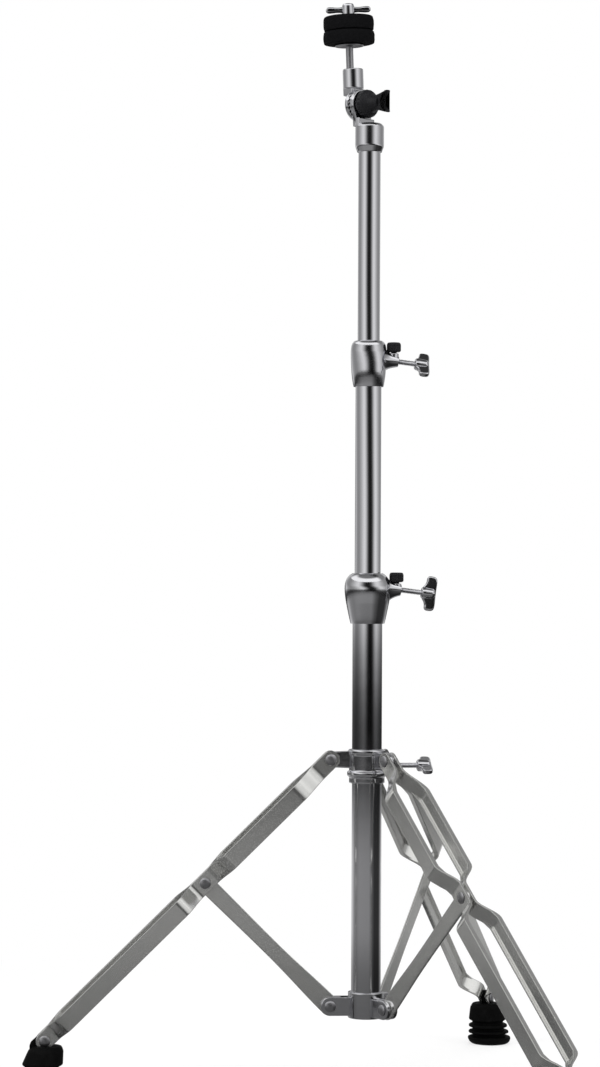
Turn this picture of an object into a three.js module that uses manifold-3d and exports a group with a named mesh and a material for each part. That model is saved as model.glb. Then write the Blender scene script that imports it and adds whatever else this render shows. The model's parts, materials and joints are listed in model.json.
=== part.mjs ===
import * as THREE from "three";
import { mergeVertices } from "three/addons/utils/BufferGeometryUtils.js";
import Module from "manifold-3d";

// Straight cymbal stand: a folding tripod, three telescoping tubes, a toothed tilter and a felt seat.
// Millimetres and +Z up. The floor is z = 0, and the origin is below the middle of the outline.

const wasm = await Module();
wasm.setup();

// Fits that every piece shares
const seatGap = 0.3;
const slideGap = 0.5;
const cutOverrun = 2;
const mergeTolerance = 0.0001;

// Facets round a full turn
const tubeSegments = 24;
const castSegments = 22;
const footSegments = 20;
const pinSegments = 10;
const screwSegments = 12;
const feltSegments = 24;
const arcSteps = 5;

// Telescoping tubes
const tubeWall = 1.2;
const baseTubeRadius = 12.7;
const middleTubeRadius = 11.1;
const upperTubeRadius = 9.525;
const middleTubeLength = 370;
const upperTubeLength = 400;

// Plastic glides in the lower ends of the sliding tubes
const glideDiscHeight = 5;
const glideSpigotHeight = 9;
const glideWall = 2;

// Tripod linkage
const legCount = 3;
const pivotRadius = 31;
const linkLength = 150;
const spreadAngle = THREE.MathUtils.degToRad(45.5);
const lowerPivotHeight = 71.4;

// Leg strips, two to a leg
const stripWidth = 15;
const stripThickness = 2;
const loopHalfSpread = 18;
const flangeDepth = 2.2;
const flangeThickness = 1.6;
const upperJogStart = 14;
const upperJogLength = 27;
const middleJogStart = 9;
const middleJogLength = 20;
const endJogStart = 9;
const endJogLength = 17;
const jogSteps = 3;

// Struts
const strutThickness = 2.5;
const strutWidth = 14.6;
const strutFootRadius = 8.4;

// Rivets and pivot pins
const pinRadius = 2.7;
const pinHeadRadius = 4.8;
const pinHeadHeight = 1.5;
const pinHeadShares = [
  [1, 0],
  [0.85, 0.7],
  [0, 1],
];

// Rubber feet
const footHeight = 39;
const footFlangeRadius = 20;
const footOutset = 7.5;
const footSkew = 7;
const footTongueThickness = 4;
const footRivetRise = 4.4;
const footProfileShares = [
  [0, 0],
  [0.95, 0],
  [1, 0.04],
  [0.98, 0.17],
  [0.78, 0.22],
  [0.9, 0.3],
  [0.88, 0.38],
  [0.74, 0.45],
  [0.83, 0.53],
  [0.82, 0.9],
  [0.64, 1],
  [0, 1],
];

// Strut bracket at the foot of the base tube
const bracketDrop = 10;
const bracketHeight = 22;
const baseTubeInset = 2;
const bracketWall = 2.3;
const bracketArmThickness = 11;
const bracketArmRadius = 8;
const bracketSlotReach = 9.5;

// Sliding tripod collar
const tripodCollarDrop = 20;
const tripodCollarRise = 8.7;
const tripodCollarWall = 2.2;
const collarLugThickness = 4;
const collarLugRadius = 6.6;
const tripodFlangeRadius = 16.8;
const tripodBeadRadius = 16;
const tripodCollarShares = [
  [0, 0],
  [0, 0.2],
  [1, 0.24],
  [1, 0.32],
  [0, 0.36],
  [0, 0.86],
  [0.5, 0.89],
  [0.5, 0.98],
  [0.2, 1],
];
const tripodBossEnd = 26.5;
const tripodBossRadius = 6.4;
const tripodBoltDrop = 5;

// Height collars: radius share of the widest place, height share of the collar
const lowerCollarFoot = 397.9;
const lowerCollarHeight = 43.2;
const lowerCollarRadius = 19.8;
const lowerCollarGrip = 17;
const lowerCollarShares = [
  [0.73, 0],
  [0.78, 0.08],
  [0.87, 0.28],
  [0.96, 0.48],
  [1, 0.67],
  [0.985, 0.79],
  [0.91, 0.89],
  [0.79, 0.96],
  [0.65, 1],
];
const upperCollarFoot = 600.8;
const upperCollarHeight = 39.3;
const upperCollarRadius = 15.3;
const upperCollarGrip = 13;
const upperCollarShares = [
  [0.84, 0],
  [0.89, 0.14],
  [0.94, 0.37],
  [1, 0.56],
  [1, 0.8],
  [0.95, 0.91],
  [0.84, 0.98],
  [0.75, 1],
];
const collarLipHeight = 2.4;
const bushingSlit = 2;

// Bosses, wing bolts and lock screws of the height collars
const boltDroop = THREE.MathUtils.degToRad(7);
const lowerBoltRise = 32.4;
const upperBoltRise = 24.8;
const bossRootRadius = 8.2;
const bossTipRadius = 4.2;
const boltRadius = 2.4;
const lowerLockShare = 0.93;
const upperLockShare = 1;
const lockPostRadius = 4.2;
const lowerLockPostRise = 5;
const upperLockPostRise = 6.6;
const lockStemRadius = 2.4;
const lockStemSeat = 2.2;
const lockNeckHeight = 1.2;
const lockHeadRadius = 6.1;
const lockHeadHeight = 8.4;
const lockHeadShares = [
  [0.8, 0],
  [1, 0.12],
  [1, 0.74],
  [0.84, 0.96],
  [0.4, 1],
  [0.34, 0.72],
  [0, 0.72],
];

// Wings: share of the depth along the bolt, share of the half span
const wingSpan = 30;
const wingDepth = 12.9;
const wingThickness = 4.4;
const wingHubRadius = 4.8;
const wingHubShares = [
  [1, 0],
  [1.1, 0.2],
  [1, 0.8],
  [0, 0.94],
];
const wingOutlineShares = [
  [0.06, 0.2],
  [0.08, 0.34],
  [0.22, 0.5],
  [0.29, 0.66],
  [0.29, 0.86],
  [0.38, 0.97],
  [0.54, 1],
  [0.82, 0.98],
  [0.95, 0.9],
  [1, 0.7],
  [0.98, 0.2],
];
const tripodWingStart = 42.9;
const lowerWingStart = 46.4;
const upperWingStart = 39.9;
const tripodWingTurn = THREE.MathUtils.degToRad(20);
const upperWingTurn = THREE.MathUtils.degToRad(40);

// Tilter: places along the hinge are measured from the tube's axis
const tilterFoot = 802;
const tilterGrip = 17;
const socketWall = 2.5;
const socketTaperHeight = 5;
const socketCap = 7.7;
const hingeAzimuth = THREE.MathUtils.degToRad(-49);
const headLean = THREE.MathUtils.degToRad(3);
const hingeDiscRadius = 13.2;
const hingeInterface = -12.5;
const earThickness = 5;
const earFootThickness = 8;
const earFootDrop = 12.4;
const earRootWidth = 19;
const armDiscThickness = 4.8;
const discRunningGap = 4.1;
const toothCount = 24;
const toothDepth = 1.3;
const toothRingInner = 7;
const hingeBoltRadius = 3.2;
const hingeBoltHeadRadius = 5.6;
const hingeBoltHeadHeight = 2.8;
const hingeWasherRadius = 9;
const hingeWasherThickness = 1;
const tilterNutRadius = 12.2;
const tilterNutDepth = 7.7;
const tilterNutWingReach = 24.6;
const tilterNutWingSpan = 19.6;
const tilterNutWingThickness = 5;
const tilterNutTurn = THREE.MathUtils.degToRad(90);
const tilterNutShares = [
  [0.9, 0],
  [1, 0.14],
  [1, 0.6],
  [0.86, 0.92],
  [0.64, 1.15],
  [0.5, 1.9],
  [0.4, 2.2],
  [0, 2.25],
];
const tilterNutWingShares = [
  [0, 0.5],
  [0.3, 0.6],
  [0.56, 0.72],
  [0.8, 0.9],
  [0.96, 1],
  [1, 0.86],
  [0.9, 0.62],
  [0.79, 0.38],
  [0.74, 0.12],
];

// Tilter arm and cymbal rod
const rodOffset = -22;
const neckOffset = -18.6;
const neckRadius = 8.8;
const neckTopRise = 31.6;
const neckFootRise = 14.2;
const webFootRise = 8.4;
const webHalfWidth = 6.8;
const rodRadius = 3.2;
const rodSeatDepth = 18;
const rodShoulderRise = 51.6;
const rodTipRadius = 2.6;
const rodTipProud = 0.5;

// Felt seat
const seatWasherRadius = 12.5;
const seatWasherThickness = 1;
const seatWasherDish = 0.6;
const sleeveRadius = 4.8;
const sleeveHeight = 22;
const lowerFeltRadius = 22.2;
const lowerFeltHeight = 11;
const upperFeltRadius = 21.8;
const upperFeltHeight = 12.6;
const feltShares = [
  [0.94, 0],
  [1, 0.18],
  [1, 0.8],
  [0.93, 1],
];

// Wing nut on the rod: shares of the height and of the half span
const nutHubRadius = 5.6;
const nutHubHeight = 10.6;
const nutWingSpan = 39;
const nutWingThickness = 4.6;
const nutTurn = THREE.MathUtils.degToRad(44);
const nutHubShares = [
  [0.94, 0],
  [1, 0.12],
  [0.92, 0.84],
  [0.8, 1],
];
const nutWingShares = [
  [0.26, 0.2],
  [0.32, 0.45],
  [0.27, 0.72],
  [0.27, 0.88],
  [0.34, 0.97],
  [0.5, 1],
  [0.68, 0.97],
  [0.77, 0.88],
  [0.76, 0.72],
  [0.7, 0.45],
  [0.76, 0.2],
];

// Sizes that follow from the ones above
const upperPivotHeight = lowerPivotHeight + 2 * linkLength * Math.cos(spreadAngle);
const middlePivotHeight = lowerPivotHeight + linkLength * Math.cos(spreadAngle);
const footRivetDrop = middlePivotHeight - footHeight - footRivetRise;
const legLength = linkLength + footRivetDrop / Math.cos(spreadAngle);
const legEndRadius = pivotRadius + legLength * Math.sin(spreadAngle);
const footReach = legEndRadius + footOutset;
const footCentreLean = footSkew / footHeight;
const pinHoleRadius = pinRadius + seatGap;
const bracketFoot = lowerPivotHeight - bracketDrop;
const baseTubeFoot = bracketFoot + baseTubeInset;
const baseTubeTop = lowerCollarFoot + lowerCollarGrip;
const middleTubeTop = upperCollarFoot + upperCollarGrip;
const middleTubeFoot = middleTubeTop - middleTubeLength;
const upperTubeTop = tilterFoot + tilterGrip;
const upperTubeFoot = upperTubeTop - upperTubeLength;
const boltHoleRadius = boltRadius + seatGap;
const socketRadius = upperTubeRadius + seatGap + socketWall;
const socketTop = upperTubeTop + socketCap;
const hingeHeight = socketTop + discRunningGap + hingeDiscRadius;
const feltSeatRise = rodShoulderRise + seatGap + seatWasherThickness + seatGap;
const upperFeltRise = feltSeatRise + lowerFeltHeight + seatGap;
const nutRise = upperFeltRise + upperFeltHeight + seatGap;
const rodTopRise = nutRise + nutHubHeight + rodTipProud;

// Materials
function finish(color, roughness, metalness) {
  return () => new THREE.MeshStandardMaterial({ color, roughness, metalness });
}
const chrome = finish(0xd8dadd, 0.12, 1);
const steel = finish(0xb9bcc0, 0.3, 1);
const rubber = finish(0x121212, 0.75, 0);
const blackPlastic = finish(0x15171a, 0.4, 0);
const nylon = finish(0x2a2b2d, 0.55, 0);
const felt = finish(0x0d0d0f, 0.95, 0);

// Solids from geometry
function solid(geometry) {
  const open = geometry.index ? geometry.toNonIndexed() : geometry;
  const bare = new THREE.BufferGeometry().setAttribute("position", open.getAttribute("position"));
  const merged = mergeVertices(bare, mergeTolerance);
  const corners = merged.index.array;
  const outward = [];
  const inward = [];
  for (let i = 0; i < corners.length; i += 3) {
    const [a, b, c] = [corners[i], corners[i + 1], corners[i + 2]];
    if (a === b || b === c || c === a) continue;
    outward.push(a, b, c);
    inward.push(a, c, b);
  }
  const build = (triVerts) =>
    new wasm.Manifold(
      new wasm.Mesh({
        numProp: 3,
        vertProperties: merged.getAttribute("position").array,
        triVerts: new Uint32Array(triVerts),
      }),
    );
  const made = build(outward);
  return made.volume() > 0 ? made : build(inward);
}

function joined(...geometries) {
  return geometries.map(solid).reduce((sum, next) => sum.add(next));
}

function cut(body, ...geometries) {
  return geometries.map(solid).reduce((rest, tool) => rest.subtract(tool), body);
}

function piece(name, body, material) {
  const mesh = body.getMesh();
  const positions = new Float32Array(mesh.numVert * 3);
  for (let i = 0; i < mesh.numVert; i++) {
    const start = i * mesh.numProp;
    positions.set(mesh.vertProperties.subarray(start, start + 3), i * 3);
  }
  const indexed = new THREE.BufferGeometry();
  indexed.setAttribute("position", new THREE.BufferAttribute(positions, 3));
  indexed.setIndex(new THREE.BufferAttribute(mesh.triVerts, 1));
  const geometry = indexed.toNonIndexed();
  geometry.computeVertexNormals();
  const made = new THREE.Mesh(geometry, material());
  made.name = name;
  return made;
}

function group(parent, position = [0, 0, 0], rotation = [0, 0, 0]) {
  const made = new THREE.Group();
  made.position.set(...position);
  made.rotation.set(...rotation);
  parent.add(made);
  return made;
}

// Revolved about Z from [radius, height] points that end on the axis or close on themselves
function revolved(profile, segments) {
  const points = profile.map(([radius, height]) => new THREE.Vector2(radius, height));
  return new THREE.LatheGeometry(points, segments).rotateX(Math.PI / 2);
}

function ring(inner, outer, from, to, segments) {
  const profile = [
    [inner, from],
    [outer, from],
    [outer, to],
    [inner, to],
    [inner, from],
  ];
  return revolved(profile, segments);
}

function bar(radius, from, to, segments) {
  const geometry = new THREE.CylinderGeometry(radius, radius, to - from, segments);
  return geometry.rotateX(Math.PI / 2).translate(0, 0, (from + to) / 2);
}

function cone(fromRadius, toRadius, from, to, segments) {
  const geometry = new THREE.CylinderGeometry(toRadius, fromRadius, to - from, segments);
  return geometry.rotateX(Math.PI / 2).translate(0, 0, (from + to) / 2);
}

function turnedToX(geometry) {
  return geometry.rotateY(Math.PI / 2);
}

function turnedToY(geometry) {
  return geometry.rotateX(-Math.PI / 2);
}

// Plates: an outline in one plane, given its thickness about the middle of the third direction
function slab(outline, thickness) {
  const shape = new THREE.Shape(outline.map(([x, y]) => new THREE.Vector2(x, y)));
  const geometry = new THREE.ExtrudeGeometry(shape, { depth: thickness, bevelEnabled: false });
  return geometry.translate(0, 0, -thickness / 2);
}

function plateXZ(outline, thickness) {
  return slab(outline, thickness).rotateX(Math.PI / 2);
}

function plateYZ(outline, thickness) {
  return slab(outline, thickness).rotateX(Math.PI / 2).rotateZ(Math.PI / 2);
}

function box(from, to) {
  const size = to.map((value, i) => value - from[i]);
  const centre = to.map((value, i) => (value + from[i]) / 2);
  return new THREE.BoxGeometry(...size).translate(...centre);
}

// A strap seen flat: two round ends of their own radius, one above the other
function strapOutline(footRadius, headRadius, footHeightAt, headHeightAt) {
  const outline = [];
  for (let i = 0; i <= arcSteps; i++) {
    const angle = Math.PI + (Math.PI * i) / arcSteps;
    outline.push([footRadius * Math.cos(angle), footHeightAt + footRadius * Math.sin(angle)]);
  }
  for (let i = 0; i <= arcSteps; i++) {
    const angle = (Math.PI * i) / arcSteps;
    outline.push([headRadius * Math.cos(angle), headHeightAt + headRadius * Math.sin(angle)]);
  }
  return outline;
}

// Profiles from shares of a radius and a height
function fromShares(shares, radius, foot, height) {
  return shares.map(([across, up]) => [across * radius, foot + up * height]);
}

// A pin along Y with a domed head on each side of what it grips
function pivotPin(name, halfGrip) {
  const seat = halfGrip + seatGap;
  const headShape = fromShares(pinHeadShares, pinHeadRadius, seat, pinHeadHeight);
  const profile = [[pinRadius, seat], ...headShape];
  const whole = [...profile.map(([r, z]) => [r, -z]).reverse(), ...profile];
  return piece(name, solid(turnedToY(revolved(whole, pinSegments))), steel);
}

// Wings: a mirrored outline whose shares run along the bolt and out to the tip
function wingOutline(shares, start, depth, span) {
  const half = shares.map(([along, out]) => [start + along * depth, (out * span) / 2]);
  return [...half, ...half.map(([along, out]) => [along, -out]).reverse()];
}

function wingBolt(name, tip, start) {
  const hub = fromShares(wingHubShares, wingHubRadius, start, wingDepth);
  const shaft = [[0, tip], [boltRadius, tip], [boltRadius, start], ...hub];
  const wings = slab(wingOutline(wingOutlineShares, start, wingDepth, wingSpan), wingThickness);
  return piece(name, joined(turnedToX(revolved(shaft, screwSegments)), wings), chrome);
}

// Groups
const stand = new THREE.Group();
const legAzimuths = Array.from({ length: legCount }, (unused, i) => Math.PI * (1 - (2 * i) / legCount));
const sideReach = footReach * Math.cos(Math.PI / legCount);
stand.position.x = (footReach - sideReach) / 2;

// Base tube
stand.add(
  piece(
    "base_tube",
    solid(ring(baseTubeRadius - tubeWall, baseTubeRadius, baseTubeFoot, baseTubeTop, tubeSegments)),
    chrome,
  ),
);

// Strut bracket: a sleeve with a forked arm for each strut
function strutBracket() {
  const bore = baseTubeRadius + seatGap;
  const sleeve = bore + bracketWall;
  const top = bracketFoot + bracketHeight;
  const armLow = lowerPivotHeight - bracketArmRadius;
  const armHigh = lowerPivotHeight + bracketArmRadius;
  const arm = [[bore, armLow]];
  for (let i = 0; i <= arcSteps; i++) {
    const angle = -Math.PI / 2 + (Math.PI * i) / arcSteps;
    const out = pivotRadius + bracketArmRadius * Math.cos(angle);
    arm.push([out, lowerPivotHeight + bracketArmRadius * Math.sin(angle)]);
  }
  arm.push([bore, armHigh]);
  let body = solid(bar(sleeve, bracketFoot, top, castSegments));
  const slotHalf = strutThickness / 2 + seatGap;
  const slotFrom = [pivotRadius - bracketSlotReach, -slotHalf, armLow - cutOverrun];
  const slotTo = [pivotRadius + bracketArmRadius + cutOverrun, slotHalf, armHigh + cutOverrun];
  const holeHalf = bracketArmThickness / 2 + cutOverrun;
  for (const azimuth of legAzimuths) {
    const hole = turnedToY(bar(pinHoleRadius, -holeHalf, holeHalf, pinSegments));
    hole.translate(pivotRadius, 0, lowerPivotHeight);
    body = body.add(solid(plateXZ(arm, bracketArmThickness).rotateZ(azimuth)));
    body = cut(body, box(slotFrom, slotTo).rotateZ(azimuth), hole.rotateZ(azimuth));
  }
  return cut(body, bar(bore, bracketFoot - cutOverrun, top + cutOverrun, tubeSegments));
}
stand.add(piece("strut_bracket", strutBracket(), chrome));

// Sliding tripod collar: beaded sleeve, a lug for each leg and a boss for the wing bolt
const tripodBoltHeight = upperPivotHeight - tripodBoltDrop;
function tripodCollar() {
  const bore = baseTubeRadius + seatGap;
  const sleeve = bore + tripodCollarWall;
  const foot = upperPivotHeight - tripodCollarDrop;
  const top = upperPivotHeight + tripodCollarRise;
  const skin = tripodCollarShares.map(([bulge, up]) => {
    const widest = up < 0.5 ? tripodFlangeRadius : tripodBeadRadius;
    return [sleeve + bulge * (widest - sleeve), foot + up * (top - foot)];
  });
  const lug = [[bore, upperPivotHeight - collarLugRadius]];
  for (let i = 0; i <= arcSteps; i++) {
    const angle = -Math.PI / 2 + (Math.PI * i) / arcSteps;
    const out = pivotRadius + collarLugRadius * Math.cos(angle);
    lug.push([out, upperPivotHeight + collarLugRadius * Math.sin(angle)]);
  }
  lug.push([bore, upperPivotHeight + collarLugRadius]);
  const boss = turnedToX(bar(tripodBossRadius, 0, tripodBossEnd, screwSegments));
  const boltHole = turnedToX(bar(boltHoleRadius, 0, tripodBossEnd + cutOverrun, screwSegments));
  let body = solid(revolved([[0, foot], ...skin, [0, top]], castSegments));
  body = body.add(solid(boss.translate(0, 0, tripodBoltHeight)));
  const holeHalf = collarLugThickness / 2 + cutOverrun;
  for (const azimuth of legAzimuths) {
    const hole = turnedToY(bar(pinHoleRadius, -holeHalf, holeHalf, pinSegments));
    hole.translate(pivotRadius, 0, upperPivotHeight);
    body = body.add(solid(plateXZ(lug, collarLugThickness).rotateZ(azimuth)));
    body = cut(body, hole.rotateZ(azimuth));
  }
  const tubeHole = bar(bore, foot - cutOverrun, top + cutOverrun, tubeSegments);
  return cut(body, tubeHole, boltHole.translate(0, 0, tripodBoltHeight));
}
stand.add(piece("tripod_collar", tripodCollar(), chrome));
const tripodBolt = group(stand, [0, 0, tripodBoltHeight], [tripodWingTurn, 0, 0]);
tripodBolt.add(wingBolt("tripod_wing_bolt", baseTubeRadius + seatGap, tripodWingStart));

// Centre line of a leg strip: [distance below the upper pivot, offset from the leg's middle plane]
const lugOffset = collarLugThickness / 2 + seatGap + stripThickness / 2;
const strutOffset = strutThickness / 2 + seatGap + stripThickness / 2;
const tongueOffset = footTongueThickness / 2 + seatGap + stripThickness / 2;
function jog(start, length, from, to) {
  return Array.from({ length: jogSteps + 1 }, (unused, i) => {
    const t = i / jogSteps;
    return [start + t * length, from + (to - from) * t * t * (3 - 2 * t)];
  });
}
const upperLoop = [
  ...jog(upperJogStart, upperJogLength, lugOffset, loopHalfSpread),
  ...jog(linkLength - middleJogStart - middleJogLength, middleJogLength, loopHalfSpread, strutOffset),
];
const lowerLoop = [
  ...jog(linkLength + middleJogStart, middleJogLength, strutOffset, loopHalfSpread),
  ...jog(legLength - endJogStart - endJogLength, endJogLength, loopHalfSpread, tongueOffset),
];

// A band that follows a centre line, from one offset to another
function band(line, inner, outer, width) {
  const outside = line.map(([down, offset]) => [offset + outer, -down]);
  const inside = line.map(([down, offset]) => [offset + inner, -down]).reverse();
  return plateYZ([...outside, ...inside], width);
}

// One side of a leg: a pressed strip with edge flanges round each loop and a hole for each rivet
function legStrip() {
  const halfWidth = stripWidth / 2;
  const line = [
    [-stripWidth, lugOffset],
    ...upperLoop,
    ...lowerLoop,
    [legLength + stripWidth, tongueOffset],
  ];
  let body = solid(band(line, -stripThickness / 2, stripThickness / 2, stripWidth));
  const reach = 2 * (loopHalfSpread + stripThickness);
  body = body.intersect(solid(plateXZ(strapOutline(halfWidth, halfWidth, -legLength, 0), reach)));
  for (const loop of [upperLoop, lowerLoop]) {
    for (const side of [-1, 1]) {
      const edge = (side * (stripWidth - flangeThickness)) / 2;
      const inner = loop.slice(2, -2);
      const lip = band(inner, -stripThickness / 2 - flangeDepth, stripThickness / 2, flangeThickness);
      body = body.add(solid(lip.translate(edge, 0, 0)));
    }
  }
  for (const down of [0, linkLength, legLength]) {
    const hole = turnedToY(bar(pinHoleRadius, 0, loopHalfSpread, pinSegments));
    body = cut(body, hole.translate(0, 0, -down));
  }
  return body;
}
const stripBody = legStrip();

// Struts
function strut() {
  const halfWidth = strutWidth / 2;
  const outline = strapOutline(strutFootRadius, halfWidth, 0, linkLength);
  const half = strutThickness / 2 + cutOverrun;
  const hole = () => turnedToY(bar(pinHoleRadius, -half, half, pinSegments));
  return cut(solid(plateXZ(outline, strutThickness)), hole(), hole().translate(0, 0, linkLength));
}
const strutBody = strut();

// Rubber foot: a skewed, ribbed boot whose tongue rises between the strips
const legPlace = new THREE.Matrix4()
  .makeTranslation(pivotRadius, 0, upperPivotHeight)
  .multiply(new THREE.Matrix4().makeRotationY(-spreadAngle));
function rubberFoot() {
  const boot = revolved(fromShares(footProfileShares, footFlangeRadius, 0, footHeight), footSegments);
  boot.applyMatrix4(new THREE.Matrix4().makeShear(0, 0, 0, 0, -footCentreLean, 0));
  boot.translate(footReach, 0, 0);
  const halfWidth = stripWidth / 2;
  const tongueOutline = strapOutline(halfWidth, halfWidth - seatGap, -legLength - stripWidth / 2, -legLength);
  const tongue = plateXZ(tongueOutline, footTongueThickness).applyMatrix4(legPlace);
  const pocketRadius = halfWidth + seatGap;
  const pocketOutline = strapOutline(pocketRadius, pocketRadius, -legLength, stripWidth - legLength);
  let body = joined(boot, tongue);
  for (const side of [-1, 1]) {
    const pocket = plateXZ(pocketOutline, stripThickness + 2 * seatGap);
    pocket.translate(0, side * tongueOffset, 0);
    body = cut(body, pocket.applyMatrix4(legPlace));
  }
  const headRoom = tongueOffset + stripThickness / 2 + pinHeadHeight + 2 * seatGap;
  for (const side of [-1, 1]) {
    const relief = bar(pinHeadRadius + seatGap, 0, headRoom - tongueOffset, pinSegments);
    const sunk = turnedToY(relief).translate(0, side > 0 ? tongueOffset : -headRoom, -legLength);
    body = cut(body, sunk.applyMatrix4(legPlace));
  }
  const holeHalf = footTongueThickness / 2 + cutOverrun;
  const hole = turnedToY(bar(pinHoleRadius, -holeHalf, holeHalf, pinSegments));
  return cut(body, hole.translate(0, 0, -legLength).applyMatrix4(legPlace));
}
const footBody = rubberFoot();

// Legs and struts round the tube
legAzimuths.forEach((azimuth, i) => {
  const number = i + 1;
  const spoke = group(stand, [0, 0, 0], [0, 0, azimuth]);
  const leg = group(spoke, [pivotRadius, 0, upperPivotHeight], [0, -spreadAngle, 0]);
  leg.add(piece(`leg_${number}_strip_a`, stripBody, chrome));
  const mirrored = group(leg, [0, 0, 0], [0, 0, Math.PI]);
  mirrored.add(piece(`leg_${number}_strip_b`, stripBody, chrome));
  const collarPin = pivotPin(`collar_pin_${number}`, lugOffset + stripThickness / 2);
  const middlePin = pivotPin(`leg_${number}_middle_pin`, strutOffset + stripThickness / 2);
  const footRivet = pivotPin(`leg_${number}_foot_rivet`, tongueOffset + stripThickness / 2);
  middlePin.position.z = -linkLength;
  footRivet.position.z = -legLength;
  leg.add(collarPin, middlePin, footRivet);
  const strutPlace = group(spoke, [pivotRadius, 0, lowerPivotHeight], [0, spreadAngle, 0]);
  strutPlace.add(piece(`strut_${number}`, strutBody, chrome));
  const bracketPin = pivotPin(`bracket_pin_${number}`, bracketArmThickness / 2);
  bracketPin.position.set(pivotRadius, 0, lowerPivotHeight);
  spoke.add(bracketPin, piece(`leg_${number}_foot`, footBody, rubber));
});

// Height collar: a waisted casting round the joint of two tubes, with a tapered boss and a lock post
function heightCollar(collar) {
  const { foot, top, axis, lockReach, postTop, postRise } = collar;
  const skin = [[0, foot], ...fromShares(collar.shares, collar.radius, foot, top - foot), [0, top]];
  const bossEnd = lockReach + lockPostRadius;
  const boss = turnedToX(cone(bossRootRadius, bossTipRadius, 0, bossEnd, screwSegments));
  const post = bar(lockPostRadius, postTop - postRise, postTop, screwSegments);
  const boltHole = turnedToX(bar(boltHoleRadius, 0, bossEnd + cutOverrun, screwSegments));
  const stemHoleFoot = postTop - lockStemSeat - seatGap;
  const stemHole = bar(lockStemRadius + seatGap, stemHoleFoot, postTop + cutOverrun, screwSegments);
  const body = joined(
    revolved(skin, castSegments),
    boss.rotateY(boltDroop).translate(0, 0, axis),
    post.translate(lockReach, 0, 0),
  );
  return cut(
    body,
    bar(collar.outerTube + seatGap, foot - cutOverrun, collar.lipFoot, tubeSegments),
    bar(collar.innerTube + slideGap, foot, top + cutOverrun, tubeSegments),
    boltHole.rotateY(boltDroop).translate(0, 0, axis),
    stemHole.translate(lockReach, 0, 0),
  );
}

// Nylon bushing: a slit ring that stands on the outer tube's end, below the collar's lip
function bushing(collar) {
  const { outerTube, tubeEnd, lipFoot } = collar;
  const inner = collar.innerTube + seatGap;
  const body = solid(ring(inner, outerTube, tubeEnd + seatGap, lipFoot - seatGap, tubeSegments));
  const slitFrom = [-outerTube - cutOverrun, -bushingSlit / 2, tubeEnd];
  return cut(body, box(slitFrom, [0, bushingSlit / 2, lipFoot]));
}

// Lock screw: a round head on a stem that stands in the post
function lockScrew(collar) {
  const headFoot = collar.postTop + lockNeckHeight;
  const profile = [
    [0, collar.postTop - lockStemSeat],
    [lockStemRadius, collar.postTop - lockStemSeat],
    [lockStemRadius, headFoot],
    ...fromShares(lockHeadShares, lockHeadRadius, headFoot, lockHeadHeight),
  ];
  return solid(revolved(profile, screwSegments).translate(collar.lockReach, 0, 0));
}

// The clamp of one tube joint: collar, bushing, lock screw and wing bolt
function addClamp(parent, label, sizes) {
  const collar = { ...sizes };
  collar.top = collar.foot + collar.height;
  collar.lipFoot = collar.top - collarLipHeight;
  collar.tubeEnd = collar.foot + collar.grip;
  collar.axis = collar.foot + collar.boltRise;
  collar.lockReach = collar.radius * collar.lockShare + lockHeadRadius + seatGap;
  collar.postTop = collar.axis - collar.lockReach * Math.tan(boltDroop) + collar.postRise;
  const bolt = group(parent, [0, 0, collar.axis], [collar.turn, boltDroop, 0, "YXZ"]);
  parent.add(piece(`${label}_collar`, heightCollar(collar), chrome));
  parent.add(piece(`${label}_bushing`, bushing(collar), nylon));
  parent.add(piece(`${label}_lock_screw`, lockScrew(collar), blackPlastic));
  const boltTip = (collar.outerTube + seatGap + boltRadius * Math.sin(boltDroop)) / Math.cos(boltDroop);
  bolt.add(wingBolt(`${label}_wing_bolt`, boltTip, collar.wingStart));
}
addClamp(stand, "lower", {
  shares: lowerCollarShares,
  radius: lowerCollarRadius,
  foot: lowerCollarFoot,
  height: lowerCollarHeight,
  grip: lowerCollarGrip,
  outerTube: baseTubeRadius,
  innerTube: middleTubeRadius,
  boltRise: lowerBoltRise,
  lockShare: lowerLockShare,
  postRise: lowerLockPostRise,
  wingStart: lowerWingStart,
  turn: Math.PI / 2,
});
addClamp(stand, "upper", {
  shares: upperCollarShares,
  radius: upperCollarRadius,
  foot: upperCollarFoot,
  height: upperCollarHeight,
  grip: upperCollarGrip,
  outerTube: middleTubeRadius,
  innerTube: upperTubeRadius,
  boltRise: upperBoltRise,
  lockShare: upperLockShare,
  postRise: upperLockPostRise,
  wingStart: upperWingStart,
  turn: upperWingTurn,
});

// Sliding tubes, each with a stepped glide plugged into its lower end
function addSlidingTube(label, radius, foot, top, outerTube) {
  const inner = radius - tubeWall;
  const spigot = inner - seatGap;
  const disc = outerTube - tubeWall - seatGap;
  const bore = spigot - glideWall;
  const discTop = foot - seatGap;
  const glide = [
    [bore, discTop - glideDiscHeight],
    [disc, discTop - glideDiscHeight],
    [disc, discTop],
    [spigot, discTop],
    [spigot, discTop + glideSpigotHeight],
    [bore, discTop + glideSpigotHeight],
    [bore, discTop - glideDiscHeight],
  ];
  stand.add(piece(`${label}_tube`, solid(ring(inner, radius, foot, top, tubeSegments)), chrome));
  stand.add(piece(`${label}_glide`, solid(revolved(glide, tubeSegments)), nylon));
}
addSlidingTube("middle", middleTubeRadius, middleTubeFoot, middleTubeTop, baseTubeRadius);
addSlidingTube("upper", upperTubeRadius, upperTubeFoot, upperTubeTop, middleTubeRadius);

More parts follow.
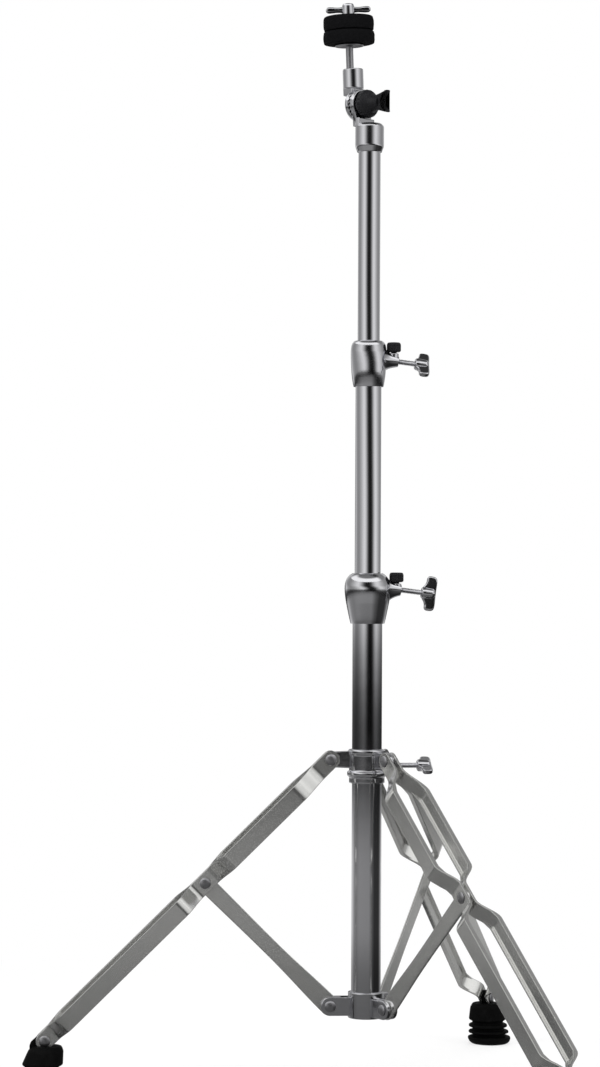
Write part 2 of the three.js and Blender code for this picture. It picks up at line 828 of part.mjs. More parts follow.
// Radial teeth: a ring whose upper face rises and falls with every step
function toothedRing(inner, outer, foot, tip, depth) {
  const profile = [
    [inner, foot],
    [outer, foot],
    [outer, tip],
    [inner, tip],
    [inner, foot],
  ];
  const points = profile.map(([radius, height]) => new THREE.Vector2(radius, height));
  const geometry = new THREE.LatheGeometry(points, 2 * toothCount);
  const positions = geometry.getAttribute("position");
  for (let i = 0; i < positions.count; i++) {
    const column = Math.floor(i / points.length);
    const onTip = i % points.length === 2 || i % points.length === 3;
    if (onTip && column % 2 === 1) positions.setY(i, tip - depth);
  }
  return geometry.rotateX(Math.PI / 2);
}

// Tilter base: a tapered socket on the upper tube with a toothed ear beside the tube's axis
const tilter = group(stand, [0, 0, hingeHeight], [0, 0, hingeAzimuth]);
const earFace = hingeInterface + seatGap / 2;
const armFace = hingeInterface - seatGap / 2;
function tilterBase() {
  const foot = tilterFoot - hingeHeight;
  const top = socketTop - hingeHeight;
  const bore = upperTubeRadius + seatGap;
  const socket = [
    [0, foot],
    [bore + socketWall / 4, foot],
    [socketRadius, foot + socketTaperHeight],
    [socketRadius, top - socketWall],
    [socketRadius - socketWall, top],
    [0, top],
  ];
  const earRoot = earFace + toothDepth;
  const earBack = earFace + earThickness;
  const disc = turnedToX(bar(hingeDiscRadius, earRoot, earBack, castSegments));
  const rootWidth = [-earRootWidth / 2, earRootWidth / 2];
  const root = box([earRoot, rootWidth[0], top - socketWall], [earBack, rootWidth[1], 0]);
  const footBack = earRoot + earFootThickness;
  const rootFoot = box([earRoot, rootWidth[0], top - socketWall], [footBack, rootWidth[1], -earFootDrop]);
  const teeth = toothedRing(toothRingInner, hingeDiscRadius, -earRoot - socketWall, -earFace, toothDepth);
  const body = joined(revolved(socket, castSegments), disc, root, rootFoot, turnedToX(teeth).rotateY(Math.PI));
  const boltHole = turnedToX(bar(hingeBoltRadius + seatGap, earFace, earBack + cutOverrun, screwSegments));
  const tubeHole = bar(bore, foot - cutOverrun, foot + tilterGrip + seatGap, tubeSegments);
  return cut(body, boltHole, tubeHole);
}
tilter.add(piece("tilter_base", tilterBase(), chrome));

// Everything above the hinge leans with the arm
const head = group(tilter, [0, 0, 0], [headLean, 0, 0]);
function tilterArm() {
  const back = armFace - armDiscThickness;
  const root = armFace - toothDepth;
  const disc = turnedToX(bar(hingeDiscRadius, back, root, castSegments));
  const teeth = toothedRing(toothRingInner, hingeDiscRadius, root - socketWall, armFace, toothDepth);
  const neck = bar(neckRadius, neckFootRise, neckTopRise, castSegments);
  const web = box([neckOffset - webHalfWidth, -webHalfWidth, webFootRise], [root, webHalfWidth, neckTopRise]);
  const body = joined(disc, turnedToX(teeth), neck.translate(neckOffset, 0, 0), web);
  const boltHole = turnedToX(bar(hingeBoltRadius + seatGap, back - cutOverrun, root + cutOverrun, screwSegments));
  const rodHole = bar(rodRadius + seatGap, neckTopRise - rodSeatDepth, neckTopRise + cutOverrun, screwSegments);
  return cut(body, boltHole, rodHole.translate(rodOffset, 0, 0));
}
head.add(piece("tilter_arm", tilterArm(), chrome));

// Hinge bolt, washer and wing nut
function addHingeScrew() {
  const armBack = armFace - armDiscThickness - seatGap;
  const earBack = earFace + earThickness;
  const washerFoot = earBack + seatGap;
  const nutFoot = washerFoot + hingeWasherThickness + seatGap;
  const boltTip = nutFoot + tilterNutDepth;
  const bolt = [
    [0, armBack - hingeBoltHeadHeight],
    [hingeBoltHeadRadius - hingeBoltHeadHeight / 2, armBack - hingeBoltHeadHeight],
    [hingeBoltHeadRadius, armBack - hingeBoltHeadHeight / 2],
    [hingeBoltHeadRadius, armBack],
    [hingeBoltRadius, armBack],
    [hingeBoltRadius, boltTip],
    [0, boltTip],
  ];
  const holeRadius = hingeBoltRadius + seatGap;
  const washer = ring(holeRadius, hingeWasherRadius, washerFoot, washerFoot + hingeWasherThickness, castSegments);
  const nut = [[0, nutFoot], ...fromShares(tilterNutShares, tilterNutRadius, nutFoot, tilterNutDepth)];
  const wingStart = nutFoot + tilterNutDepth / 2;
  const wings = slab(
    wingOutline(tilterNutWingShares, wingStart, tilterNutWingReach, tilterNutWingSpan),
    tilterNutWingThickness,
  );
  const nutHole = turnedToX(bar(holeRadius, nutFoot - cutOverrun, boltTip + seatGap, screwSegments));
  const nutPlace = group(tilter, [0, 0, 0], [tilterNutTurn, 0, 0]);
  head.add(piece("tilter_bolt", solid(turnedToX(revolved(bolt, screwSegments))), steel));
  tilter.add(piece("tilter_washer", solid(turnedToX(washer)), steel));
  const nutBody = cut(joined(turnedToX(revolved(nut, castSegments)), wings), nutHole);
  nutPlace.add(piece("tilter_wing_nut", nutBody, blackPlastic));
}
addHingeScrew();

// Cymbal rod: it stands in the neck and steps down to a threaded tip that carries the seat
const rodPlace = group(head, [rodOffset, 0, 0]);
const rodFoot = neckTopRise - rodSeatDepth + seatGap;
rodPlace.add(
  piece(
    "cymbal_rod",
    solid(
      revolved(
        [
          [0, rodFoot],
          [rodRadius, rodFoot],
          [rodRadius, rodShoulderRise],
          [rodTipRadius, rodShoulderRise],
          [rodTipRadius, rodTopRise],
          [0, rodTopRise],
        ],
        screwSegments,
      ),
    ),
    chrome,
  ),
);

// Dished washer on the rod's shoulder, sleeve, felts and wing nut
function addSeat() {
  const tipHole = rodTipRadius + seatGap;
  const washerFoot = rodShoulderRise + seatGap;
  const washerTop = washerFoot + seatWasherThickness;
  const washer = [
    [tipHole, washerFoot],
    [seatWasherRadius / 2, washerFoot],
    [seatWasherRadius, washerFoot - seatWasherDish],
    [seatWasherRadius, washerTop - seatWasherDish],
    [seatWasherRadius / 2, washerTop],
    [tipHole, washerTop],
    [tipHole, washerFoot],
  ];
  rodPlace.add(piece("seat_washer", solid(revolved(washer, castSegments)), steel));
  const sleeve = ring(tipHole, sleeveRadius, feltSeatRise, feltSeatRise + sleeveHeight, screwSegments);
  rodPlace.add(piece("rod_sleeve", solid(sleeve), nylon));
  const feltBore = sleeveRadius + seatGap;
  const pad = (radius, foot, height) => {
    const skin = fromShares(feltShares, radius, foot, height);
    const profile = [[feltBore, foot], ...skin, [feltBore, foot + height], [feltBore, foot]];
    return solid(revolved(profile, feltSegments));
  };
  rodPlace.add(piece("lower_felt", pad(lowerFeltRadius, feltSeatRise, lowerFeltHeight), felt));
  rodPlace.add(piece("upper_felt", pad(upperFeltRadius, upperFeltRise, upperFeltHeight), felt));
}
addSeat();

function addCymbalNut() {
  const hole = rodTipRadius + seatGap;
  const skin = fromShares(nutHubShares, nutHubRadius, nutRise, nutHubHeight);
  const hub = revolved([[0, nutRise], ...skin, [0, nutRise + nutHubHeight]], screwSegments);
  const outline = wingOutline(nutWingShares, nutRise, nutHubHeight, nutWingSpan);
  const wings = plateXZ(
    outline.map(([up, out]) => [out, up]),
    nutWingThickness,
  );
  const bore = bar(hole, nutRise - cutOverrun, nutRise + nutHubHeight + cutOverrun, screwSegments);
  const place = group(rodPlace, [0, 0, 0], [0, 0, nutTurn]);
  place.add(piece("cymbal_wing_nut", cut(joined(hub, wings), bore), chrome));
}
addCymbalNut();

export default stand;
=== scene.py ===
import json
import math

import bmesh
import bpy
import numpy as np
from mathutils import Matrix, Vector

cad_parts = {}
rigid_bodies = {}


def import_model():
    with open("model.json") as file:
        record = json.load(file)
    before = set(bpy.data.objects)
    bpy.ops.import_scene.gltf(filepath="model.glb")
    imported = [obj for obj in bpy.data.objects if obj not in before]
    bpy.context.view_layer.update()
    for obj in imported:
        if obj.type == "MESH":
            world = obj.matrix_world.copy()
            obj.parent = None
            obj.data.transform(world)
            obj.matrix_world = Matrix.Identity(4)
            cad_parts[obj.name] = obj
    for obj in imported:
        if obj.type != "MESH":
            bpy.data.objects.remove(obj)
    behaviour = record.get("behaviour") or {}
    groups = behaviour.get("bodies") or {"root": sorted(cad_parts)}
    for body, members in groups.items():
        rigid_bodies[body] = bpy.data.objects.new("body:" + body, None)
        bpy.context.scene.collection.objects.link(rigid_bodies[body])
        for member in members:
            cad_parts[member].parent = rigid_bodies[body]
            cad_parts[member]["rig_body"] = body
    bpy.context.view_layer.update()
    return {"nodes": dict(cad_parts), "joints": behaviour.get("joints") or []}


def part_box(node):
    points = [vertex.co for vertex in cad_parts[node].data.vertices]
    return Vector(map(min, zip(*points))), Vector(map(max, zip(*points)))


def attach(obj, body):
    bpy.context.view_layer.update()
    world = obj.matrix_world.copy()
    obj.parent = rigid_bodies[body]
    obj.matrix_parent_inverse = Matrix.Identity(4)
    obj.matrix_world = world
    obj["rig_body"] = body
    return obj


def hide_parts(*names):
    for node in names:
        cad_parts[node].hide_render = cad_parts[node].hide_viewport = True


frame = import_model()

bl_info = {
    "name": "Cymbal stand",
    "version": (1, 0, 0),
    "blender": (4, 5, 0),
    "location": "3D View > Sidebar > Stand",
    "description": "Straight cymbal stand with a folding braced tripod, height clamps, tilter and felt seat",
    "category": "Object",
}

MM = 0.001
JOINTS = {joint["name"]: joint for joint in frame["joints"]}
LEGS = (1, 2, 3)
UP = np.array([0.0, 0.0, 1.0])
FLAT = np.array([1.0, 1.0, 0.0])
WHITE = (1.0, 1.0, 1.0, 1.0)
MERGE_DISTANCE = 5e-7
# Gap between a tube and a sleeve on it
TUBE_GAP = 0.3 * MM


# ---- places


def unit(vector):
    """A direction of length one."""
    vector = np.asarray(vector, float)
    return vector / np.linalg.norm(vector)


def turned_about(vector, axis, angle):
    """Rodrigues: v cos a + (k x v) sin a + k (k . v)(1 - cos a)."""
    vector, axis = np.asarray(vector, float), unit(axis)
    across = np.cross(axis, vector)
    along = axis * (axis @ vector)
    return vector * math.cos(angle) + across * math.sin(angle) + along * (1 - math.cos(angle))


def placed(points, where):
    """Own coordinates along a place's three axes, added to its origin."""
    origin, axes = where
    return points @ axes + origin


def spot(origin, z=UP, x=None):
    """A place: an origin and three axes, z as given and x as near as can be to the one given."""
    z = unit(z)
    x = np.eye(3)[np.argmin(np.abs(z))] if x is None else np.asarray(x, float)
    x = unit(x - z * (z @ x))
    return np.asarray(origin, float), np.stack([x, np.cross(z, x), z])


def centre(node):
    """The middle of a CAD node's box."""
    low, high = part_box(node)
    return (np.array(low) + np.array(high)) / 2


def half_width(node):
    """Half of a CAD node's width across y."""
    low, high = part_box(node)
    return (high[1] - low[1]) / 2


def between(first, second):
    """The distance between the middles of two CAD nodes."""
    return float(np.linalg.norm(centre(first) - centre(second)))


def joint_point(name):
    """A point on a hinge's line."""
    return np.array(JOINTS[name]["pos_m"], float)


def joint_axis(name):
    """A joint's direction."""
    return unit(JOINTS[name]["axis"])


AXIS_X = float(centre("base_tube")[0])


def on_axis(height=0.0):
    """A point on the tubes' common axis."""
    return np.array([AXIS_X, 0.0, height])


# ---- lines and surfaces


def rounded(line, radius, steps=5, loop=False):
    """Corners of a line cut back by radius and bridged by (1-t)^2 a + 2t(1-t) p + t^2 b.

    A point just outside each curve holds the flat part beside it flat.
    """
    line = np.asarray(line, float)
    radius = np.broadcast_to(np.asarray(radius, float), line.shape[:-1])[..., None]
    before = np.roll(line, 1, -2) - line
    after = np.roll(line, -1, -2) - line

    def cut(way, share):
        length = np.linalg.norm(way, axis=-1, keepdims=True)
        reach = np.minimum(radius * share, length * 0.3 * share)
        return line + way / np.maximum(length, 1e-12) * reach

    a, b = cut(before, 1.0), cut(after, 1.0)
    t = np.linspace(0, 1, steps + 1)[:, None]
    p = line[..., None, :]
    curve = (1 - t) ** 2 * a[..., None, :] + 2 * t * (1 - t) * p + t**2 * b[..., None, :]
    near, far = cut(before, 1.5)[..., None, :], cut(after, 1.5)[..., None, :]
    curve = np.concatenate([near, curve, far], -2)
    if not loop:
        middle = curve[..., 1:-1, :, :]
        middle = middle.reshape(*middle.shape[:-3], -1, line.shape[-1])
        return np.concatenate([line[..., :1, :], middle, line[..., -1:, :]], -2)
    return curve.reshape(*curve.shape[:-3], -1, line.shape[-1])


def quarter_cuts(before, after):
    """Two points on each side from before to after: a quarter in from either end."""
    return np.stack([0.75 * before + 0.25 * after, 0.25 * before + 0.75 * after], 1).reshape(-1, 2)


def smoothed(outline, times=3):
    """A closed outline whose corners are cut at a quarter of each side, some times over."""
    outline = np.asarray(outline, float)
    for _ in range(times):
        outline = quarter_cuts(outline, np.roll(outline, -1, 0))
    return outline


def eased(line, times=2):
    """The same for an open line, with its ends kept."""
    line = np.asarray(line, float)
    for _ in range(times):
        line = np.concatenate([line[:1], quarter_cuts(line[:-1], line[1:]), line[-1:]])
    return line


def mirrored(half):
    """An outline and its mirror image across the first coordinate's axis."""
    half = np.asarray(half, float)
    return np.concatenate([half, (half * [1, -1])[::-1]])


def arc(radius, start, end, steps=24, middle=(0.0, 0.0)):
    """Points on a circle between two angles in degrees."""
    angle = np.radians(np.linspace(start, end, steps + 1))
    return np.stack([np.cos(angle), np.sin(angle)], -1) * radius + np.asarray(middle, float)


def rectangle(left, right, low, high):
    """The four corners of a rectangle."""
    return np.array([[left, low], [right, low], [right, high], [left, high]], float)


def ring_profile(inner, outer, low, high, edge):
    """The rounded section of a plain ring."""
    return rounded(rectangle(inner, outer, low, high), edge, 4, True)


def smooth_step(t):
    """3t^2 - 2t^3, held at 0 and 1 outside."""
    t = np.clip(t, 0, 1)
    return t * t * (3 - 2 * t)


def grid_faces(rows, columns, loop_rows=False):
    """Four-sided faces between the points of a grid, numbered row by row. Each row closes into a ring."""
    row = np.arange(rows if loop_rows else rows - 1)[:, None]
    column = np.arange(columns)[None, :]
    next_row, next_column = (row + 1) % rows, (column + 1) % columns
    corners = [row * columns + column, row * columns + next_column]
    corners += [next_row * columns + next_column, next_row * columns + column]
    return np.stack(corners, -1).reshape(-1, 4).tolist()


def grid_shell(points, loop_rows=False):
    """A shell from a grid of points in space."""
    return points.reshape(-1, 3), grid_faces(*points.shape[:2], loop_rows)


def capped_shell(points):
    """A shell from a grid of points whose first and last rows are closed by a face each."""
    shell, faces = grid_shell(points)
    rows, columns = points.shape[:2]
    last = (rows - 1) * columns
    return shell, faces + [list(range(columns)), list(range(last, last + columns))]


def turned(profile, where, steps=64, loop=False, relief=None):
    """A [radius, height] profile carried round an axis: (r cos a, r sin a, h), changed by relief(a, r, h)."""
    profile = np.asarray(profile, float)
    angle = np.linspace(0, 2 * np.pi, steps, endpoint=False)[None, :]
    radius, height = profile[:, :1] + 0 * angle, profile[:, 1:] + 0 * angle
    if relief:
        radius, height = relief(angle + 0 * radius, radius, height)
    points = np.stack([radius * np.cos(angle), radius * np.sin(angle), height], -1)
    return grid_shell(placed(points, where), loop)


def plate(outline, low, high, edge, where, steps=3):
    """A flat outline between two heights, its rim rounded by pulling rings of it in along their normals."""
    outline = np.asarray(outline, float)
    after = np.roll(outline, -1, 0)
    if np.sum(outline[:, 0] * after[:, 1] - after[:, 0] * outline[:, 1]) < 0:
        outline = outline[::-1]
        after = np.roll(outline, -1, 0)
    side = after - outline
    side = side / np.maximum(np.linalg.norm(side, axis=1, keepdims=True), 1e-12)
    normal = np.stack([side[:, 1], -side[:, 0]], -1)
    bisector = normal + np.roll(normal, 1, 0)
    bisector = bisector / np.maximum((bisector**2).sum(1, keepdims=True) / 2, 0.5)
    angle = np.linspace(0, np.pi / 2, steps + 1)
    inset = np.concatenate([[1.8 * edge], edge * (1 - np.sin(angle))])
    rise = np.concatenate([[0.0], edge * (1 - np.cos(angle))])
    inset = np.concatenate([inset, inset[::-1]])
    height = np.concatenate([low + rise, (high - rise)[::-1]])
    flat = outline[None] - bisector[None] * inset[:, None, None]
    points = np.concatenate([flat, np.broadcast_to(height[:, None, None], flat.shape[:2] + (1,))], -1)
    return capped_shell(placed(points, where))


THREAD_ROWS = 7
THREAD_CHAMFER = 0.8 * MM


def thread(radius, low, high, sizes, where):
    """A threaded shaft: r - depth (1 - |2f - 1|) with f = h / pitch - a / 2 pi, chamfered at its high end."""
    rows = int((high - low) / sizes.thread_pitch * THREAD_ROWS) + 2
    height = np.linspace(low, high, rows)
    bare = radius - np.clip(THREAD_CHAMFER - (high - height), 0, THREAD_CHAMFER)
    profile = np.stack([np.concatenate([[0], bare, [0]]), np.concatenate([[low], height, [high]])], -1)

    def relief(angle, r, h):
        turn = (h / sizes.thread_pitch - angle / (2 * np.pi)) % 1
        return np.where(r > 0, r - sizes.thread_depth * (1 - np.abs(2 * turn - 1)), 0), h

    return turned(profile, where, 32, relief=relief)


def knurled(count, depth, low, high, fade=1.2 * MM):
    """Relief of upright grooves between two heights: r - depth (0.5 - 0.5 cos n a)^2."""

    def relief(angle, r, h):
        inside = smooth_step((h - low) / fade) * smooth_step((high - h) / fade)
        return r - depth * inside * (0.5 - 0.5 * np.cos(count * angle)) ** 2 * (r > 0), h

    return relief


# ---- materials


def by_node(operation, reflected=False):
    """One of Python's signs for a Value, by a Math node."""
    if reflected:
        return lambda self, other: self.paint.maths(operation, other, self)
    return lambda self, other: self.paint.maths(operation, self, other)


class Value:
    """A number that changes over a surface. Python's own signs add its Math nodes."""

    def __init__(self, paint, socket):
        self.paint, self.socket = paint, socket

    __add__, __radd__ = by_node("ADD"), by_node("ADD", reflected=True)
    __sub__, __rsub__ = by_node("SUBTRACT"), by_node("SUBTRACT", reflected=True)
    __mul__, __rmul__ = by_node("MULTIPLY"), by_node("MULTIPLY", reflected=True)
    __truediv__, __pow__ = by_node("DIVIDE"), by_node("POWER")


class Paint:
    """The node tree of one material, or of the world."""

    def __init__(self, owner):
        self.owner = owner
        owner.use_nodes = True
        self.tree = owner.node_tree
        self.tree.nodes.clear()
        self.coordinates = None

    @property
    def place(self):
        """Object coordinates, from one node for the whole tree."""
        if self.coordinates is None:
            self.coordinates = self.node("ShaderNodeTexCoord").outputs["Object"]
        return self.coordinates

    def node(self, kind, settings=None, **inputs):
        """A node of this kind, with its settings first and then its sockets' values or links.

        A socket is given by its name, or by its number after an underscore.
        """
        made = self.tree.nodes.new(kind)
        for name, value in (settings or {}).items():
            if name == "stops":
                elements = made.color_ramp.elements
                elements[0].position, elements[0].color = value[0]
                elements[1].position, elements[1].color = value[-1]
                for position, tone in value[1:-1]:
                    elements.new(position).color = tone
            else:
                setattr(made, name, value)
        for name, value in inputs.items():
            socket = made.inputs[int(name[1:])] if name[0] == "_" else made.inputs[name.replace("_", " ")]
            value = value.socket if isinstance(value, Value) else value
            if isinstance(value, bpy.types.NodeSocket):
                self.tree.links.new(value, socket)
            else:
                socket.default_value = value
        return made

    def maths(self, operation, *numbers):
        """A Math node on numbers that may change over the surface."""
        inputs = {f"_{place}": number for place, number in enumerate(numbers)}
        return Value(self, self.node("ShaderNodeMath", {"operation": operation}, **inputs).outputs[0])

    def noise(self, scale, detail=3.0, roughness=0.5, stretch=None):
        """Smooth noise about 0.5 at this many waves to the metre."""
        where = self.place
        if stretch:
            where = self.node("ShaderNodeMapping", Vector=where, Scale=stretch).outputs[0]
        sockets = {"Vector": where, "Scale": scale, "Detail": detail, "Roughness": roughness}
        return Value(self, self.node("ShaderNodeTexNoise", {"noise_dimensions": "3D"}, **sockets).outputs[0])

    def band(self, value, low, high):
        """0 below low, 1 above high, and smooth between."""
        kind = {"interpolation_type": "SMOOTHSTEP"}
        return Value(self, self.node("ShaderNodeMapRange", kind, Value=value, From_Min=low, From_Max=high).outputs[0])

    def mixed(self, share, first, second):
        """A colour between two, by a share."""
        return self.node("ShaderNodeMix", {"data_type": "RGBA"}, _0=share, _6=first, _7=second).outputs[2]

    def height(self, value, depth):
        """The normal of a surface raised by value times depth, in metres."""
        return self.node("ShaderNodeBump", Height=value, Strength=1.0, Distance=depth).outputs[0]

    def finished(self, **inputs):
        """The material, its surface a Principled shader with these sockets."""
        shader = self.node("ShaderNodeBsdfPrincipled", **inputs)
        self.node("ShaderNodeOutputMaterial", Surface=shader.outputs[0])
        return self.owner


def material_paint(name):
    """The node tree of a new material."""
    return Paint(bpy.data.materials.new(name))


def colour(value, share=1.0):
    """A property's colour, made lighter or darker, with its alpha."""
    return tuple(min(1.0, part * share) for part in tuple(value)[:3]) + (1.0,)


def bright_chrome(looks):
    """Polished plated tube: a mirror with a very slow waviness and a trace of handling marks."""
    paint = material_paint("tube_chrome")
    haze = paint.noise(scale=55, detail=4, roughness=0.6)
    marks = paint.noise(scale=900, detail=2, roughness=0.7, stretch=(1, 1, 0.05))
    marks = paint.band(marks, low=0.62, high=0.8)
    return paint.finished(
        Base_Color=paint.mixed(haze, colour(looks.chrome, 0.96), colour(looks.chrome)),
        Metallic=1.0,
        Roughness=looks.chrome_roughness + 0.03 * haze + 0.05 * marks,
        Normal=paint.height(paint.noise(scale=45, detail=1), depth=2e-5),
    )


def cast_chrome(looks):
    """Plated die casting or pressing: the same metal over a slightly rippled skin."""
    paint = material_paint("cast_chrome")
    haze = paint.noise(scale=120, detail=4, roughness=0.6)
    ripple = paint.noise(scale=260, detail=3, roughness=0.55)
    return paint.finished(
        Base_Color=paint.mixed(haze, colour(looks.chrome, 0.9), colour(looks.chrome, 0.99)),
        Metallic=1.0,
        Roughness=looks.chrome_roughness + 0.02 + 0.06 * haze,
        Normal=paint.height(ripple, depth=2e-5),
    )


def pressed_chrome(looks):
    """Plated pressed strip: a little blurred and wavy where it was rolled, with a hint of its own grey."""
    paint = material_paint("pressed_chrome")
    haze = paint.noise(scale=90, detail=3, roughness=0.6)
    return paint.finished(
        Base_Color=paint.mixed(haze, colour(looks.strip, 0.94), colour(looks.strip, 1.04)),
        Metallic=looks.strip_metal,
        Roughness=looks.strip_roughness + 0.06 * haze,
        Normal=paint.height(paint.noise(scale=70, detail=2), depth=2.5e-5),
    )


def zinc_steel(looks):
    """Plated rivets and bolts: greyer, duller and unevenly bright."""
    paint = material_paint("zinc_steel")
    cloud = paint.noise(scale=700, detail=4, roughness=0.65)
    return paint.finished(
        Base_Color=paint.mixed(cloud, colour(looks.steel, 0.75), colour(looks.steel)),
        Metallic=1.0,
        Roughness=looks.steel_roughness + 0.14 * cloud,
        Normal=paint.height(paint.noise(scale=1500, detail=3), depth=3e-5),
    )


def moulded_rubber(looks):
    """Black rubber with a fine grain and a little dust."""
    paint = material_paint("moulded_rubber")
    dust = paint.band(paint.noise(scale=160, detail=5, roughness=0.65), low=0.5, high=0.72)
    grain = paint.noise(scale=2600, detail=2, roughness=0.5)
    return paint.finished(
        Base_Color=paint.mixed(0.5 * dust, colour(looks.rubber), colour(looks.rubber, 2.4)),
        Roughness=0.52 + 0.2 * dust + 0.08 * grain,
        Normal=paint.height(grain, depth=9e-5),
        Specular_IOR_Level=looks.rubber_shine,
    )


def black_plastic(looks):
    """Satin black moulding with a faint sparked texture."""
    paint = material_paint("black_plastic")
    grain = paint.noise(scale=3200, detail=2, roughness=0.5)
    cloud = paint.noise(scale=240, detail=3, roughness=0.5)
    return paint.finished(
        Base_Color=paint.mixed(cloud, colour(looks.plastic), colour(looks.plastic, 1.8)),
        Roughness=0.3 + 0.14 * grain,
        Normal=paint.height(grain, depth=4e-5),
        Specular_IOR_Level=looks.plastic_shine,
    )


def dull_nylon(looks):
    """Dark nylon, cloudy and soft in its shine."""
    paint = material_paint("dull_nylon")
    cloud = paint.noise(scale=420, detail=3, roughness=0.6)
    return paint.finished(
        Base_Color=paint.mixed(cloud, colour(looks.nylon, 0.8), colour(looks.nylon, 1.3)),
        Roughness=0.42 + 0.2 * cloud,
        Normal=paint.height(cloud, depth=4e-5),
    )


def pressed_felt(looks):
    """Pressed wool: matted fibres in two scales, dark, with paler stray hairs."""
    paint = material_paint("pressed_felt")
    mat = paint.noise(scale=900, detail=6, roughness=0.75)
    hair = paint.noise(scale=5200, detail=3, roughness=0.7, stretch=(1, 1, 0.35))
    stray = paint.band(hair, low=0.56, high=0.76) * 0.6
    return paint.finished(
        Base_Color=paint.mixed(stray, colour(looks.felt), colour(looks.felt, 3.0)),
        Roughness=0.9 + 0.1 * mat,
        Normal=paint.height(mat + hair * 0.5, depth=4e-4),
        Specular_IOR_Level=looks.felt_shine,
    )


# Each finish: its material and the record's slot
FINISHES = {
    "tube": (bright_chrome, "chrome"),
    "cast": (cast_chrome, "chrome"),
    "strip": (pressed_chrome, "chrome"),
    "steel": (zinc_steel, "steel"),
    "rubber": (moulded_rubber, "rubber"),
    "plastic": (black_plastic, "black_plastic"),
    "nylon": (dull_nylon, "nylon"),
    "felt": (pressed_felt, "felt"),
}
MADE = {}


def finish_named(name):
    """The material of a finish, made once."""
    if name not in MADE:
        MADE[name] = FINISHES[name][0](bpy.context.scene.stand_looks)
    return MADE[name]


# ---- pieces


def new_object(name, data):
    """An object in the scene."""
    made = bpy.data.objects.new(name, data)
    bpy.context.scene.collection.objects.link(made)
    return made


def piece(name, shells, finish, *nodes, sharp=36):
    """One object from closed shells: doubles merged, normals outward, and put in place of its CAD nodes."""
    mesh = bpy.data.meshes.new(name)
    points, faces, start = [], [], 0
    for shell, sides in shells:
        points.append(shell)
        faces += [[corner + start for corner in side] for side in sides]
        start += len(shell)
    mesh.from_pydata(np.concatenate(points).tolist(), [], faces)
    work = bmesh.new()
    work.from_mesh(mesh)
    bmesh.ops.remove_doubles(work, verts=work.verts, dist=MERGE_DISTANCE)
    bmesh.ops.recalc_face_normals(work, faces=work.faces)
    loose = sum(edge.is_boundary for edge in work.edges)
    if loose:
        raise RuntimeError(f"{name} is not closed, at {loose} edges")
    work.to_mesh(mesh)
    work.free()
    mesh.shade_smooth()
    mesh.set_sharp_from_angle(angle=math.radians(sharp))
    mesh.materials.append(finish_named(finish))
    made = new_object(name, mesh)
    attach(made, frame["nodes"][nodes[0]]["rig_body"])
    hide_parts(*nodes)
    return made


def tube_pieces(sizes):
    """Three thin tubes, each a ring section carried round the axis, with rolled ends."""
    for node in ("base_tube", "middle_tube", "upper_tube"):
        low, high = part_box(node)
        radius = half_width(node)
        profile = ring_profile(radius - sizes.tube_wall, radius, low[2], high[2], edge=0.4 * MM)
        piece(f"polished_{node}", [turned(profile, spot(on_axis()), 96, True)], "tube", node)


def glide_pieces(sizes):
    """The plastic glides in the sliding tubes' lower ends: a rim and a spigot, turned."""
    for node in ("middle_glide", "upper_glide"):
        low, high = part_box(node)
        outer = half_width(node)
        spigot = outer - sizes.glide_rim_reach
        rim, bore = low[2] + sizes.glide_rim_height, spigot - sizes.glide_wall
        section = [[bore, low[2]], [outer, low[2]], [outer, rim], [spigot, rim], [spigot, high[2]], [bore, high[2]]]
        section = rounded(section, 0.4 * MM, 3, True)
        piece(f"plugged_{node}", [turned(section, spot(on_axis()), 64, True)], "nylon", node)


def bushing_pieces(sizes):
    """Slit bushings at the clamps: a ring section carried round the axis from one side of a slit to the other."""
    for label, tube in (("lower", "middle_tube"), ("upper", "upper_tube")):
        node = f"{label}_bushing"
        low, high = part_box(node)
        outer = half_width(node)
        section = ring_profile(half_width(tube) + 0.2 * MM, outer, low[2], high[2], edge=0.3 * MM)
        gap = math.asin(sizes.bushing_slit / 2 / outer)
        angle = np.linspace(math.pi + gap, 3 * math.pi - gap, 81)[:, None]
        radius, height = section[:, 0], section[:, 1] + 0 * angle
        points = np.stack([radius * np.cos(angle), radius * np.sin(angle), height], -1)
        piece(f"slit_{node}", [capped_shell(placed(points, spot(on_axis())))], "nylon", node)


# ---- tripod


def leg_spot(number):
    """A leg's place: origin at the collar pin, z up the leg, x outward and y across it."""
    top, foot = centre(f"collar_pin_{number}"), centre(f"leg_{number}_foot_rivet")
    return spot(top, top - foot, (foot - top) * FLAT)


def leg_length(number):
    """From the collar pin to the foot rivet."""
    return between(f"collar_pin_{number}", f"leg_{number}_foot_rivet")


# Where the two loops of a leg open and close: distances from the pins beside them, and lengths of the bends
COLLAR_PLAIN, PIN_PLAIN = 14 * MM, 9 * MM
COLLAR_BEND, MIDDLE_BEND, FOOT_BEND = 27 * MM, 20 * MM, 17 * MM
# A strip's distance from the leg's middle at its two ends, and at the middle pin
END_OFFSET, MIDDLE_OFFSET = 3.3 * MM, 2.55 * MM


